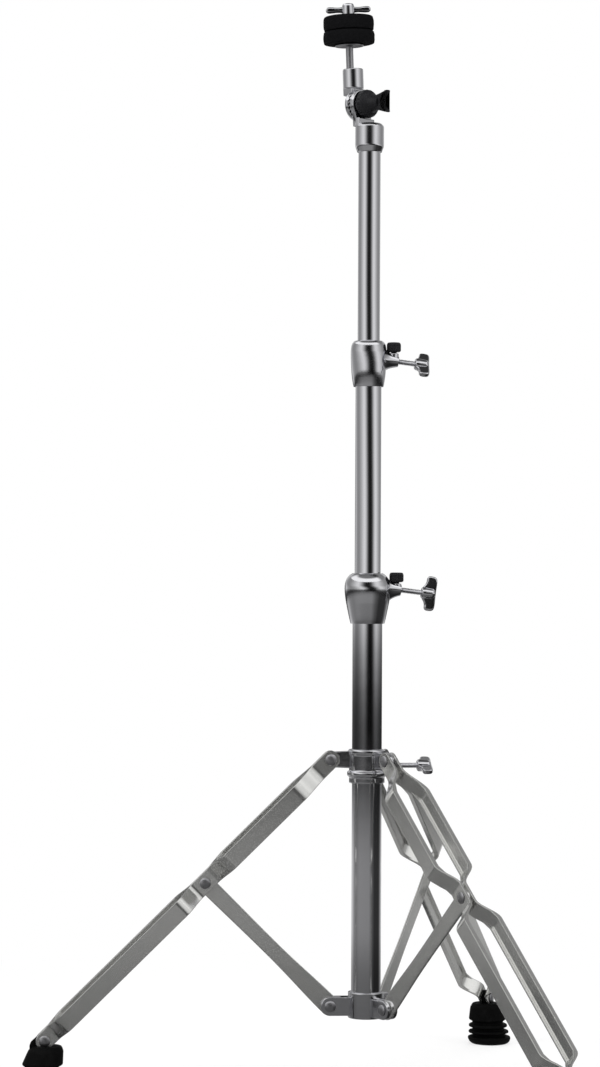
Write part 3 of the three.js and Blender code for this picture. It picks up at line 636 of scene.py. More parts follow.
def strip_shell(sizes, number, side):
    """A pressed strip: a C section carried down the leg.

    Its distance from the leg's middle plane follows smooth steps between the pinched rivets and the open loops.
    Its half width follows sqrt(w^2 - d^2) over the round ends, and its flanges rise inside the loops only.
    """
    half, thick = sizes.strip_width / 2, sizes.strip_thickness
    total, link = leg_length(number), between(f"collar_pin_{number}", f"leg_{number}_middle_pin")
    turn = np.linspace(0, np.pi / 2, 13)
    run = np.linspace(0, total, 260)
    down = np.concatenate([-half * np.cos(turn)[:-1], run, total + half * np.sin(turn)[1:]])

    def loop(start, first, end, last):
        return smooth_step((down - start) / first) * (1 - smooth_step((down - end + last) / last))

    opened = loop(COLLAR_PLAIN, COLLAR_BEND, link - PIN_PLAIN, MIDDLE_BEND)
    opened = opened + loop(link + PIN_PLAIN, MIDDLE_BEND, total - PIN_PLAIN, FOOT_BEND)
    beside_middle = (down >= link / 2) & (down < (link + total) / 2)
    pinch = np.where(beside_middle, MIDDLE_OFFSET, END_OFFSET)
    offset = pinch + (sizes.loop_spread - pinch) * opened
    lift = sizes.flange_depth * smooth_step((opened - 0.55) / 0.4)
    slope = np.gradient(offset, down)
    steep = np.sqrt(1 + slope**2)
    over = np.clip(np.maximum(-down, down - total), 0, half)
    width = np.sqrt(np.maximum(half**2 - over**2, 0))
    inner = width - np.minimum(sizes.flange_thickness, width)
    back = 0 * down + thick / 2
    lip = -back - lift
    across = np.stack([-width, width, width, inner, inner, -inner, -inner, -width], -1)
    out = np.stack([back, back, lip, lip, -back, -back, lip, lip], -1)
    section = rounded(np.stack([across, out], -1), sizes.strip_edge, 3, True)
    across, out = section[..., 0], section[..., 1]
    normal = np.stack([1 / steep, slope / steep], -1)
    aside = side * (offset[:, None] + out * normal[:, :1])
    points = np.stack([across, aside, -down[:, None] + out * normal[:, 1:]], -1)
    return grid_shell(placed(points, leg_spot(number)))


def leg_strips(sizes):
    """Two strips to a leg."""
    for number in LEGS:
        for letter, side in (("a", 1), ("b", -1)):
            name = f"leg_{number}_strip_{letter}"
            piece(f"pressed_{name}", [strip_shell(sizes, number, side)], "strip", name)


# Shares of a strut's length where its waist begins and ends
WAIST_START, WAIST_END = 0.45, 0.5


def strut_pieces(sizes):
    """Flat straps with round ends and a rounded rim. Smooth steps lead in to the waist and out of it."""
    wide, half, waist = sizes.strut_foot_radius, sizes.strut_width / 2, sizes.strut_waist / 2
    thick = sizes.strut_thickness / 2
    share = np.linspace(0, 1, 26)[1:-1]
    reach = waist + (wide - waist) * (1 - smooth_step(share / WAIST_START))
    reach = reach + (half - waist) * smooth_step((share - WAIST_END) / (1 - WAIST_END))
    for number in LEGS:
        foot, head = centre(f"bracket_pin_{number}"), centre(f"leg_{number}_middle_pin")
        length = float(np.linalg.norm(head - foot))
        side = np.stack([reach, share * length], -1)
        top = arc(half, 0, 180, middle=(0, length))
        outline = np.concatenate([arc(wide, 180, 360), side, top, side[::-1] * [-1, 1]])
        along = unit(head - foot)
        across = np.cross(along, unit(np.cross(UP, along)))
        where = (foot, np.stack([across, along, np.cross(across, along)]))
        strap = plate(outline, -thick, thick, 0.6 * MM, where)
        piece(f"pressed_strut_{number}", [strap], "strip", f"strut_{number}")


# Half of what each pin holds together, in millimetres
PIN_GRIPS = {
    "collar_pin_{}": 4.6,
    "leg_{}_middle_pin": 3.85,
    "leg_{}_foot_rivet": 4.6,
    "bracket_pin_{}": 5.8,
}


def rivet_profile(radius, head, rise, half):
    """A shank between two domed heads, as one profile: a dome is (head cos a, rise sin a)."""
    dome = [[head * math.cos(a), half + rise * math.sin(a)] for a in np.radians([22, 45, 68])]
    rim = [[radius, half - 0.1 * MM], [head * 0.97, half], [head, half + 0.15 * rise]]
    top = [*rim, *dome, [0, half + rise]]
    return np.array([[r, -h] for r, h in top[::-1]] + top)


def rivet_pieces(sizes):
    """Every pivot pin and foot rivet of the tripod, turned about its own line."""
    for number in LEGS:
        across = leg_spot(number)[1][1]
        for pattern, grip in PIN_GRIPS.items():
            node = pattern.format(number)
            profile = rivet_profile(sizes.pin_radius, sizes.pin_head_radius, sizes.pin_head_height, grip * MM)
            piece(f"domed_{node}", [turned(profile, spot(centre(node), across), 32)], "steel", node)


# Shares of a foot's radius and height
FOOT_PROFILE = [
    [0, 0], [0.82, 0], [0.94, 0.05], [1, 0.12], [0.99, 0.17],
    [0.76, 0.205], [0.76, 0.24], [0.94, 0.27], [0.93, 0.32],
    [0.74, 0.35], [0.74, 0.39], [0.9, 0.42], [0.89, 0.475],
    [0.72, 0.51], [0.72, 0.55], [0.87, 0.6], [0.75, 0.9], [0.62, 1], [0, 1],
]  # fmt: skip


def foot_pieces(sizes):
    """Ribbed boots: a profile turned round an axis that leans with the leg, and a tongue between the strips."""
    profile = rounded(np.array(FOOT_PROFILE) * [sizes.foot_radius, sizes.foot_height], 1.1 * MM, 4)
    half, thick = sizes.strip_width / 2, sizes.tongue_thickness / 2
    for number in LEGS:
        node = f"leg_{number}_foot"
        origin, axes = leg_spot(number)
        outward = unit(axes[0] * FLAT)
        reach = (centre(f"leg_{number}_foot_rivet") - on_axis()) @ outward + sizes.foot_outset
        shell, faces = turned(profile, spot(on_axis() + outward * reach, UP, outward), 72)
        shell = shell - outward * (shell[:, 2:] * sizes.foot_skew / sizes.foot_height)
        total = leg_length(number)
        sunk = arc(half, 180, 360, middle=(0, -total - half))
        tip = arc(half - 0.3 * MM, 0, 180, middle=(0, -total))
        where = (origin, np.stack([axes[0], axes[2], -axes[1]]))
        tongue = plate(np.concatenate([sunk, tip]), -thick, thick, 0.6 * MM, where)
        piece(f"ribbed_{node}", [(shell, faces), tongue], "rubber", node, sharp=50)


# How deep a lug's root is sunk in its sleeve
ROOT_SINK = 0.8 * MM


def spoke(number, node):
    """How far a pin is from the tubes' axis, and the place there at its height: x towards the leg, y up."""
    out = unit((centre(f"bracket_pin_{number}") - on_axis()) * FLAT)
    pin = centre(node)
    return float((pin - on_axis()) @ out), (on_axis(pin[2]), np.stack([out, UP, np.cross(out, UP)]))


def lug_outline(root, reach, radius, half):
    """A lug from the side: straight edges from its root, and round about its pin."""
    return np.concatenate([[[root, -half]], arc(radius, -90, 90, middle=(reach, 0)), [[root, half]]])


def bracket_piece(sizes):
    """The strut bracket: a sleeve, and for each strut two cheeks on a shared root."""
    low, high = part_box("strut_bracket")
    bore = half_width("base_tube") + TUBE_GAP
    sleeve = ring_profile(bore, bore + sizes.bracket_wall, low[2], high[2], edge=0.7 * MM)
    shells = [turned(sleeve, spot(on_axis()), 72, True)]
    half, slot = sizes.bracket_thickness / 2, sizes.strut_thickness / 2 + 0.4 * MM
    root, tall = bore + ROOT_SINK, sizes.bracket_arm_radius
    for number in LEGS:
        reach, where = spoke(number, f"bracket_pin_{number}")
        cheek = lug_outline(root, reach, tall, tall)
        block = rectangle(root, reach - tall - 1.5 * MM, -tall, tall)
        shells += [
            plate(cheek, slot, half, 0.8 * MM, where),
            plate(cheek, -half, -slot, 0.8 * MM, where),
            plate(block, -half + 0.3 * MM, half - 0.3 * MM, 0.5 * MM, where),
        ]
    piece("forked_strut_bracket", shells, "cast", "strut_bracket")


# The tripod collar below and above its pins, and the radii of its beads and its upper lip
TRIPOD_DROP, TRIPOD_RISE = 20 * MM, 8.7 * MM
LOWER_BEAD, UPPER_BEAD, TRIPOD_LIP = 16.8 * MM, 15.8 * MM, 15.2 * MM
# Radius and place along the wing bolt, in millimetres, from the boss's neck to the bottom of its hole
TRIPOD_BOSS = [[6.6, 18.5], [6.3, 26.5], [3.2, 26.5], [3.2, 20], [0, 20]]


def tripod_collar_piece(sizes):
    """The sliding collar: a beaded sleeve, a lug for each leg, and a boss for the wing bolt."""
    pin = centre("collar_pin_1")[2]
    bore = half_width("base_tube") + TUBE_GAP
    skin = bore + sizes.tripod_collar_wall
    section = np.array([
        [bore, 0], [skin, 0], [skin, 0.18], [LOWER_BEAD, 0.22], [LOWER_BEAD, 0.33], [skin, 0.37],
        [skin, 0.84], [UPPER_BEAD, 0.88], [UPPER_BEAD, 0.97], [TRIPOD_LIP, 1], [bore, 1],
    ])  # fmt: skip
    section = section * [1, TRIPOD_RISE + TRIPOD_DROP] + [0, pin - TRIPOD_DROP]
    shells = [turned(rounded(section, 0.8 * MM, 4, True), spot(on_axis()), 80, True)]
    half = sizes.lug_thickness / 2
    for number in LEGS:
        reach, where = spoke(number, f"collar_pin_{number}")
        shells.append(plate(lug_outline(bore + ROOT_SINK, reach, 6.6 * MM, 7.4 * MM), -half, half, 0.6 * MM, where))
    start = bore + 0.6 * MM
    boss = rounded(np.concatenate([[[0, start], [8 * MM, start]], np.array(TRIPOD_BOSS) * MM]), 0.8 * MM, 4)
    shells.append(turned(boss, spot(joint_point("tripod_wing_turn"), joint_axis("tripod_wing_turn")), 48))
    piece("beaded_tripod_collar", shells, "cast", "tripod_collar")


# ---- clamps

# Each height collar: its two tubes, the lock post's height and how far the boss is drawn down in millimetres,
# and the casting's outside in shares of its radius and height
COLLARS = {
    "lower": {
        "tubes": ("base_tube", "middle_tube"),
        "post": 5.0,
        "keel": 12.0,
        "body": [
            [0.73, 0], [0.78, 0.08], [0.87, 0.28], [0.96, 0.48], [1, 0.67],
            [0.985, 0.79], [0.91, 0.89], [0.79, 0.96], [0.65, 1],
        ],
    },
    "upper": {
        "tubes": ("middle_tube", "upper_tube"),
        "post": 6.6,
        "keel": 2.0,
        "body": [
            [0.84, 0], [0.88, 0.07], [0.955, 0.27], [0.985, 0.47], [1, 0.66],
            [1, 0.81], [0.955, 0.92], [0.85, 0.98], [0.75, 1],
        ],
    },
}  # fmt: skip
COLLAR_LIP = 2.4 * MM
# A boss: radius at its end, growth towards the casting, flare at its root and how fast the flare fades
BOSS_RADIUS, BOSS_TAPER, BOSS_FLARE, FLARE_FADE = 4.2 * MM, 3 * MM, 3.6 * MM, 3.4 * MM
BOSS_HOLE_RADIUS, BOSS_HOLE_DEPTH, BOSS_PAST_POST = 2.8 * MM, 4 * MM, 4.2 * MM
# Radius and height from the post's top, in millimetres
POST_FOOT_RADIUS = 4.6
POST_HEAD = [[4.2, -2], [4.2, 0], [2.7, 0], [2.7, -1.6], [0, -1.6]]
# The lock screw: how deep it stands in the post, its shank's radius, the neck below its head, the head's height
LOCK_SINK, LOCK_SHANK, LOCK_NECK, LOCK_HEIGHT = 2.2 * MM, 2.4 * MM, 1.2 * MM, 8.4 * MM
# Shares of the head's radius and height
LOCK_HEAD = [[0.8, 0], [1, 0.12], [1, 0.78], [0.86, 0.97], [0.42, 1], [0.36, 0.74], [0, 0.74]]


def lock_height(label):
    """The top of the post that carries the lock screw."""
    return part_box(f"{label}_lock_screw")[0][2] + LOCK_SINK


def keel(depth, start, bore, axis, fade=5.2 * MM):
    """Relief that draws a boss's underside down to the casting: r + depth s^4 exp((start - h) / fade), s down.

    Its root is cut off at the bore, an upright plane beside the tube.
    """
    droop = -axis[2]
    level = math.sqrt(1 - droop**2)

    def relief(angle, r, h):
        down = np.clip(-np.sin(angle), 0, 1)
        outside = smooth_step((r - 2.9 * MM) / (1.3 * MM))
        r = r + depth * down**4 * np.exp((start - h) / fade) * outside
        return r, np.maximum(h, (bore - droop * r * np.sin(angle)) / level)

    return relief


def collar_pieces():
    """Waisted castings: a smooth profile turned round the tubes, a flared boss along the bolt and a lock post.

    The boss's radius is its end's, plus a straight growth, plus a flare that fades as exp(-distance / fade).
    """
    for label, collar in COLLARS.items():
        node = f"{label}_collar"
        low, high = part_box(node)[0][2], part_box(node)[1][2]
        outer, inner = (half_width(tube) for tube in collar["tubes"])
        lip, mouth, bore = high - COLLAR_LIP, inner + 0.5 * MM, outer + TUBE_GAP
        skin = eased(collar["body"]) * [half_width(node), high - low] + [0, low]
        section = np.concatenate([skin, [[mouth, high], [mouth, lip], [bore, lip], [bore, low]]])
        shells = [turned(rounded(section, 1.2 * MM, 3, True), spot(on_axis()), 96, True)]

        lock = centre(f"{label}_lock_screw")
        axis = joint_axis(f"{label}_wing_turn")
        start, end = outer + 1.2 * MM, float(lock[0] - AXIS_X) + BOSS_PAST_POST
        run = np.linspace(0, 1, 18)
        flare = BOSS_FLARE * np.exp(-(run * (end - start)) / FLARE_FADE)
        body = np.stack([BOSS_RADIUS + BOSS_TAPER * (1 - run) + flare, start + run * (end - start)], -1)
        floor = end - BOSS_HOLE_DEPTH
        line = np.concatenate([body, [[BOSS_HOLE_RADIUS, end], [BOSS_HOLE_RADIUS, floor], [0, floor]]])
        boss = np.concatenate([[[0, start]], rounded(line, 0.9 * MM, 4)])
        relief = keel(collar["keel"] * MM, start, outer + 0.7 * MM, axis)
        shells.append(turned(boss, spot(joint_point(f"{label}_wing_turn"), axis), 56, relief=relief))

        foot = [[0, -collar["post"]], [POST_FOOT_RADIUS, -collar["post"]]]
        post = np.array(foot + POST_HEAD) * MM + [0, lock_height(label)]
        shells.append(turned(rounded(post, 0.6 * MM, 3), spot([lock[0], lock[1], 0]), 40))
        piece(f"waisted_{node}", shells, "cast", node)


def lock_screw_pieces(sizes):
    """Black-headed lock screws: a turned head with grooves down its side, and a recess in its top."""
    for label in COLLARS:
        node = f"{label}_lock_screw"
        lock, top = centre(node), lock_height(label)
        low, foot, radius = top - LOCK_SINK, top + LOCK_NECK, half_width(node)
        head = np.array(LOCK_HEAD) * [radius, LOCK_HEIGHT] + [0, foot]
        line = rounded(np.concatenate([[[0, low], [LOCK_SHANK, low], [LOCK_SHANK, foot]], head]), 0.7 * MM, 3)
        # More rows on the head's straight side, so that the grooves can fade
        tall = foot + LOCK_HEIGHT * np.linspace(0.2, 0.7, 12)
        above = int(np.argmax((line[:, 1] > tall[-1]) & (line[:, 0] > 0.9 * radius)))
        line = np.concatenate([line[:above], np.stack([tall * 0 + radius, tall], -1), line[above:]])
        line = line[np.concatenate([[True], np.linalg.norm(np.diff(line, axis=0), axis=1) > 1e-9])]
        relief = knurled(sizes.knurl_count, sizes.knurl_depth, foot + 1 * MM, foot + 0.85 * LOCK_HEIGHT)
        shells = [turned(line, spot([lock[0], lock[1], 0]), 120, relief=relief)]
        piece(f"knurled_{node}", shells, "plastic", node, sharp=30)


# Each wing bolt: where its shaft starts and its hub starts, in millimetres from the tubes' axis, and the
# ears' turn in degrees
WING_BOLTS = {"tripod": (13.0, 42.9, 20), "lower": (13.4, 46.4, 90), "upper": (11.8, 39.9, 40)}
HUB_RADIUS = 4.8 * MM
# Shares of the hub's radius and depth
WING_HUB = [[0, 0], [0.85, 0], [1.05, 0.08], [1.1, 0.24], [1, 0.78], [0.7, 0.92], [0, 0.94]]
# Shares of the ears' depth along the bolt and of half their span
WING_OUTLINE = [
    [0.06, 0.2], [0.08, 0.34], [0.22, 0.5], [0.29, 0.66], [0.29, 0.86], [0.38, 0.97],
    [0.54, 1], [0.82, 0.98], [0.95, 0.9], [1, 0.7], [0.98, 0.2],
]  # fmt: skip


def wing_ears(origin, axis, span, start, depth, width, thick, outline):
    """Two ears as one plate: the outline's shares run along the bolt and out to the tips."""
    half = np.array(outline) * [depth, width / 2] + [start, 0]
    across = unit(span - axis * (axis @ span))
    where = (origin, np.stack([axis, across, np.cross(axis, across)]))
    return plate(smoothed(mirrored(half)), -thick / 2, thick / 2, min(1.4 * MM, thick * 0.4), where, 4)


def wing_bolt_pieces(sizes):
    """Wing bolts: a threaded shaft, a round hub and two ears."""
    ear = (sizes.wing_depth, sizes.wing_span, sizes.wing_thickness)
    for label, (tip, start, turn) in WING_BOLTS.items():
        node = f"{label}_wing_bolt"
        origin, axis = joint_point(f"{label}_wing_turn"), joint_axis(f"{label}_wing_turn")
        where, start = spot(origin, axis), start * MM
        shaft = thread(sizes.bolt_radius, tip * MM, start + 1 * MM, sizes, where)
        hub = rounded(np.array(WING_HUB) * [HUB_RADIUS, sizes.wing_depth] + [0, start], 0.9 * MM, 4)
        span = turned_about([0, 1, 0], axis, math.radians(turn))
        ears = wing_ears(origin, axis, span, start, *ear, WING_OUTLINE)
        piece(f"cast_{node}", [shaft, turned(hub, where, 40), ears], "cast", node)


# ---- tilter and seat


def tilt_spot(z):
    """A place at the tilter's hinge: x along the hinge, and z as given."""
    return spot(joint_point("tilter_tilt"), z, joint_axis("tilter_tilt"))


def head_spot():
    """What tilts: x along the hinge and z along the rod."""
    return tilt_spot(joint_axis("cymbal_nut_turn"))


def along_hinge(where):
    """The same place with its z along the hinge, for turned pieces."""
    origin, axes = where
    return origin, np.stack([axes[1], axes[2], axes[0]])


# Places along the hinge from the tubes' axis: tips of the teeth, their roots and the back
EAR_FACE, EAR_ROOT, EAR_BACK = -12.35 * MM, -11.05 * MM, -7.35 * MM
ARM_FACE, ARM_ROOT, ARM_BACK = -12.65 * MM, -13.95 * MM, -17.45 * MM
TOOTH_RING_INNER, TOOTH_RING_THICKNESS = 7 * MM, 1.5 * MM
# The socket: its top below the hinge, the tube hole's depth, its wall, its tapered foot and its shoulder
SOCKET_TOP, SOCKET_DEPTH, SOCKET_WALL = -17.3 * MM, 17.3 * MM, 2.5 * MM
SOCKET_FOOT_WALL, SOCKET_TAPER, SOCKET_SHOULDER = 0.7 * MM, 5 * MM, 2.4 * MM
# The ear's foot on the socket: half its width, its top below the hinge, and its depth along the hinge
EAR_FOOT_HALF, EAR_FOOT_TOP, EAR_FOOT_DEPTH = 9.5 * MM, -12.5 * MM, 8 * MM
# The arm's round neck beside the rod: its line's place along the hinge, its radius, foot and top
NECK_PLACE, NECK_RADIUS, NECK_FOOT, NECK_TOP = -18.6 * MM, 8.8 * MM, 14.2 * MM, 31.6 * MM
# The web that joins disc and neck: its far side along the hinge, half its width, its foot and top
WEB_SIDE, WEB_HALF, WEB_FOOT, WEB_TOP = -25.2 * MM, 6.8 * MM, 8.4 * MM, 31 * MM


def tooth_ring(sizes, where, root, tip, way):
    """Radial teeth: a ring whose face is raised by a triangle wave of the angle, deeper further out."""
    inner, outer = TOOTH_RING_INNER, sizes.disc_radius - 0.4 * MM
    radius, back = np.linspace(inner, outer, 6), root - way * TOOTH_RING_THICKNESS
    profile = np.concatenate([np.stack([radius, radius * 0 + tip], -1), [[outer, back], [inner, back]]])

    def relief(angle, r, h):
        wave = np.abs(((angle * sizes.tooth_count / (2 * np.pi)) % 1) * 2 - 1)
        depth = sizes.tooth_depth * (r / outer) * np.clip(1.15 * wave - 0.05, 0, 1)
        return r, np.where(np.abs(h - tip) < 1e-9, h - way * depth, h)

    return turned(profile, where, int(sizes.tooth_count) * 8, True, relief)


def tilter_base_piece(sizes):
    """The tilter's socket and its toothed ear."""
    place = tilt_spot(UP)
    height, hinge = place[0][2], along_hinge(place)
    low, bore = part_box("tilter_base")[0][2] - height, half_width("upper_tube") + TUBE_GAP
    wide, ceiling, shoulder = bore + SOCKET_WALL, low + SOCKET_DEPTH, SOCKET_TOP - SOCKET_SHOULDER
    outside = [[bore, ceiling], [bore, low], [bore + SOCKET_FOOT_WALL, low], [wide, low + SOCKET_TAPER]]
    outside += [[wide, shoulder], [wide - SOCKET_SHOULDER, SOCKET_TOP], [0, SOCKET_TOP]]
    outside = rounded(outside, 1.2 * MM, 5)[1:]
    line = np.concatenate([outside, [[0, ceiling], [bore, ceiling]], outside[:1]])
    disc = arc(sizes.disc_radius, -38, 218, 60)
    ear = np.concatenate([disc, [[-EAR_FOOT_HALF, shoulder], [EAR_FOOT_HALF, shoulder]]])
    foot = rectangle(-EAR_FOOT_HALF, EAR_FOOT_HALF, shoulder, EAR_FOOT_TOP)
    shells = [
        turned(line, spot(on_axis(height)), 72),
        plate(ear, EAR_ROOT, EAR_BACK, 0.9 * MM, hinge),
        plate(foot, EAR_ROOT, EAR_ROOT + EAR_FOOT_DEPTH, 0.9 * MM, hinge),
        tooth_ring(sizes, hinge, EAR_ROOT, EAR_FACE, -1),
    ]
    piece("toothed_tilter_base", shells, "cast", "tilter_base")


def tilter_arm_piece(sizes):
    """The tilting arm: a toothed disc, a web and a round neck."""
    head = head_spot()
    hinge, (origin, axes) = along_hinge(head), head
    disc = arc(sizes.disc_radius, 0, 360, 72)[:-1]
    neck = [[0, NECK_FOOT], [NECK_RADIUS, NECK_FOOT], [NECK_RADIUS, NECK_TOP], [0, NECK_TOP]]
    web = rounded(rectangle(WEB_SIDE, ARM_ROOT, -WEB_HALF, WEB_HALF), 1.5 * MM, 4, True)
    shells = [
        plate(disc, ARM_BACK, ARM_ROOT, 0.9 * MM, hinge),
        tooth_ring(sizes, hinge, ARM_ROOT, ARM_FACE, 1),
        turned(rounded(neck, 1.1 * MM, 4), (origin + NECK_PLACE * axes[0], axes), 64),
        plate(web, WEB_FOOT, WEB_TOP, 1 * MM, head),
    ]
    piece("necked_tilter_arm", shells, "cast", "tilter_arm")


# The hinge bolt: its radius and tip along the hinge, and its head as radius and place from the arm's back
HINGE_BOLT_RADIUS, HINGE_BOLT_TIP = 3.2 * MM, 1.95 * MM
HINGE_BOLT_HEAD = [[0, -2.8], [2.6, -2.7], [4.4, -2], [5.6, -0.9], [5.6, 0], [3, 0], [0, 0.5]]
WASHER_INNER, WASHER_OUTER, WASHER_THICKNESS = 3.5 * MM, 9 * MM, 1 * MM
# The black wing nut: radius and depth of its hub, depth, span and thickness of its ears
NUT_RADIUS, NUT_DEPTH, NUT_WING = 12.2 * MM, 7.7 * MM, (24.6 * MM, 19.6 * MM, 5 * MM)
# Shares of the hub's radius and depth, with its threaded end standing out
TILTER_NUT = [
    [0, 0], [0.3, 0], [0.9, 0], [1, 0.14], [1, 0.6], [0.86, 0.92], [0.64, 1.15],
    [0.5, 1.9], [0.4, 2.2], [0.3, 2.25], [0.3, 1.02], [0, 1.02],
]  # fmt: skip
TILTER_WING = [
    [0, 0.5], [0.3, 0.6], [0.56, 0.72], [0.8, 0.9], [0.96, 1],
    [1, 0.86], [0.9, 0.62], [0.79, 0.38], [0.74, 0.12],
]  # fmt: skip


def hinge_screw_pieces(sizes):
    """The tilter's bolt, washer and black wing nut."""
    hinge = along_hinge(head_spot())
    back = ARM_BACK - 0.3 * MM
    dome = rounded(np.array(HINGE_BOLT_HEAD) * MM + [0, back], 0.8 * MM, 4)
    shaft = thread(HINGE_BOLT_RADIUS, back, HINGE_BOLT_TIP, sizes, hinge)
    piece("carriage_tilter_bolt", [turned(dome, hinge, 40), shaft], "steel", "tilter_bolt")

    place = tilt_spot(UP)
    hinge, flat = along_hinge(place), EAR_BACK + 0.3 * MM
    washer = ring_profile(WASHER_INNER, WASHER_OUTER, flat, flat + WASHER_THICKNESS, edge=0.25 * MM)
    piece("pressed_tilter_washer", [turned(washer, hinge, 56, True)], "steel", "tilter_washer")

    foot = flat + WASHER_THICKNESS + 0.3 * MM
    nut = np.array(TILTER_NUT) * [NUT_RADIUS, NUT_DEPTH] + [0, foot]
    nut = np.concatenate([nut[:1], rounded(nut[1:], 0.9 * MM, 4)])
    (origin, axes), axis = place, joint_axis("tilter_wing_turn")
    span = turned_about(axes[1], axis, math.radians(90))
    ears = wing_ears(origin, axis, span, foot + NUT_DEPTH / 2, *NUT_WING, TILTER_WING)
    grip = knurled(18, 0.5 * MM, foot + 0.8 * MM, foot + 5.4 * MM)
    shells = [turned(nut, hinge, 144, relief=grip), ears]
    piece("moulded_tilter_wing_nut", shells, "plastic", "tilter_wing_nut")


# Places up the rod from the hinge, from below: rod, cup washer, felts, wing nut, and the sleeve's length
ROD_FOOT, ROD_SHOULDER, ROD_TOP, WASHER_FOOT = 13.9 * MM, 51.6 * MM, 88.5 * MM, 51.9 * MM
LOWER_FELT, UPPER_FELT = (53.2 * MM, 64.2 * MM), (64.5 * MM, 77.1 * MM)
NUT_FOOT, NUT_HEIGHT, SLEEVE_LENGTH = 77.4 * MM, 10.6 * MM, 22 * MM
ROD_RADIUS, ROD_TIP_RADIUS, SLEEVE_BORE, SLEEVE_RADIUS, FELT_BORE = 3.2 * MM, 2.6 * MM, 2.9 * MM, 4.8 * MM, 5.1 * MM
# Radius and height in millimetres
CUP_WASHER = [[2.9, 0], [6.2, 0], [12.5, -0.6], [12.5, 0.4], [6.2, 1], [2.9, 1]]
# The top wing nut: radius and profile of its hub, its turn, the span and thickness of its ears
ROD_NUT_RADIUS, ROD_NUT_TURN, ROD_NUT_WING = 5.6 * MM, 44, (39 * MM, 4.6 * MM)
ROD_NUT_HUB = [[0.52, 0], [0.94, 0], [1, 0.12], [0.92, 0.84], [0.8, 1], [0.52, 1]]
ROD_NUT_OUTLINE = [
    [0.26, 0.2], [0.32, 0.45], [0.27, 0.72], [0.27, 0.88], [0.34, 0.97], [0.5, 1],
    [0.68, 0.97], [0.77, 0.88], [0.76, 0.72], [0.7, 0.45], [0.76, 0.2],
]  # fmt: skip


def rod_spot():
    """The cymbal rod's place: z up the rod."""
    return spot(joint_point("cymbal_nut_turn"), joint_axis("cymbal_nut_turn"), joint_axis("tilter_tilt"))


def rod_piece(sizes):
    """A stepped rod with a threaded tip."""
    where = rod_spot()
    shank = [[0, ROD_FOOT], [ROD_RADIUS, ROD_FOOT], [ROD_RADIUS, ROD_SHOULDER], [0, ROD_SHOULDER]]
    tip = thread(ROD_TIP_RADIUS, ROD_SHOULDER - 1 * MM, ROD_TOP, sizes, where)
    piece("stepped_cymbal_rod", [turned(rounded(shank, 0.5 * MM, 4), where, 48), tip], "steel", "cymbal_rod")


def felt_shell(radius, low, high, where, seed):
    """A pressed disc: a ring section with soft corners, whose skin is moved by three slow sine waves."""
    tall = high - low
    section = [[FELT_BORE, low], [radius * 0.97, low], [radius, low + 0.3 * tall], [radius, high - 0.28 * tall]]
    section += [[radius * 0.96, high], [FELT_BORE, high]]

    def relief(angle, r, h):
        wave = np.sin(5 * angle + seed) + 0.6 * np.sin(11 * angle + 900 * h + 2 * seed)
        wave = wave + 0.4 * np.sin(23 * angle - 1500 * h)
        outside = smooth_step((r / radius - 0.55) / 0.4)
        return r + 0.1 * MM * wave * outside, h + 0.05 * MM * wave * (1 - outside)

    return turned(rounded(section, 2.6 * MM, 6, True), where, 144, True, relief)


def seat_pieces(sizes):
    """The cup washer, sleeve and two felts."""
    where, seat = rod_spot(), LOWER_FELT[0]
    washer = rounded(np.array(CUP_WASHER) * MM + [0, WASHER_FOOT], 0.35 * MM, 3, True)
    piece("dished_seat_washer", [turned(washer, where, 72, True)], "steel", "seat_washer")
    sleeve = ring_profile(SLEEVE_BORE, SLEEVE_RADIUS, seat, seat + SLEEVE_LENGTH, edge=0.4 * MM)
    piece("moulded_rod_sleeve", [turned(sleeve, where, 40, True)], "nylon", "rod_sleeve")
    for node, radius, (low, high), seed in (
        ("lower_felt", sizes.lower_felt_radius, LOWER_FELT, 0.4),
        ("upper_felt", sizes.upper_felt_radius, UPPER_FELT, 2.1),
    ):
        made = piece(f"pressed_{node}", [felt_shell(radius, low, high, where, seed)], "felt", node, sharp=60)


def cymbal_nut_piece():
    """The wing nut on the rod: a tapered hub and two ears."""
    where = origin, axes = rod_spot()
    hub = rounded(np.array(ROD_NUT_HUB) * [ROD_NUT_RADIUS, NUT_HEIGHT] + [0, NUT_FOOT], 0.7 * MM, 4, True)
    span = turned_about(axes[0], axes[2], math.radians(ROD_NUT_TURN))
    ears = wing_ears(origin, axes[2], span, NUT_FOOT, NUT_HEIGHT, *ROD_NUT_WING, ROD_NUT_OUTLINE)
    piece("cast_cymbal_wing_nut", [turned(hub, where, 48, True), ears], "cast", "cymbal_wing_nut")


# ---- stage

# Direction from the stand to the camera, in degrees
AZIMUTH_ZERO = -95.5
FLOOR_RADIUS, ROUND_SIDES = 9.0, 96
# Distances between which the floor turns to white
WHITE_FROM, WHITE_FULL = 0.35, 0.9
CARD_RADIUS, CARD_HEIGHT, GROUND_LIFT = 4.0, 3.0, 0.8 * MM
# How far the wall's greys are turned to the right low down, in degrees, and where that begins and ends to fade
WALL_LEAN, LEAN_FULL, LEAN_NONE = 22.0, 0.57, 1.07
# Share of half a turn from the camera's direction to behind, grey
WALL_GREYS = (
    (0.0, 0.01), (0.045, 0.014), (0.08, 0.04), (0.115, 0.12), (0.17, 0.37), (0.225, 0.62),
    (0.28, 0.74), (0.335, 0.66), (0.45, 0.42), (0.56, 0.27), (0.66, 0.25), (0.78, 0.35),
    (0.88, 0.62), (0.96, 0.3), (0.985, 0.03), (1.0, 0.02),
)  # fmt: skip
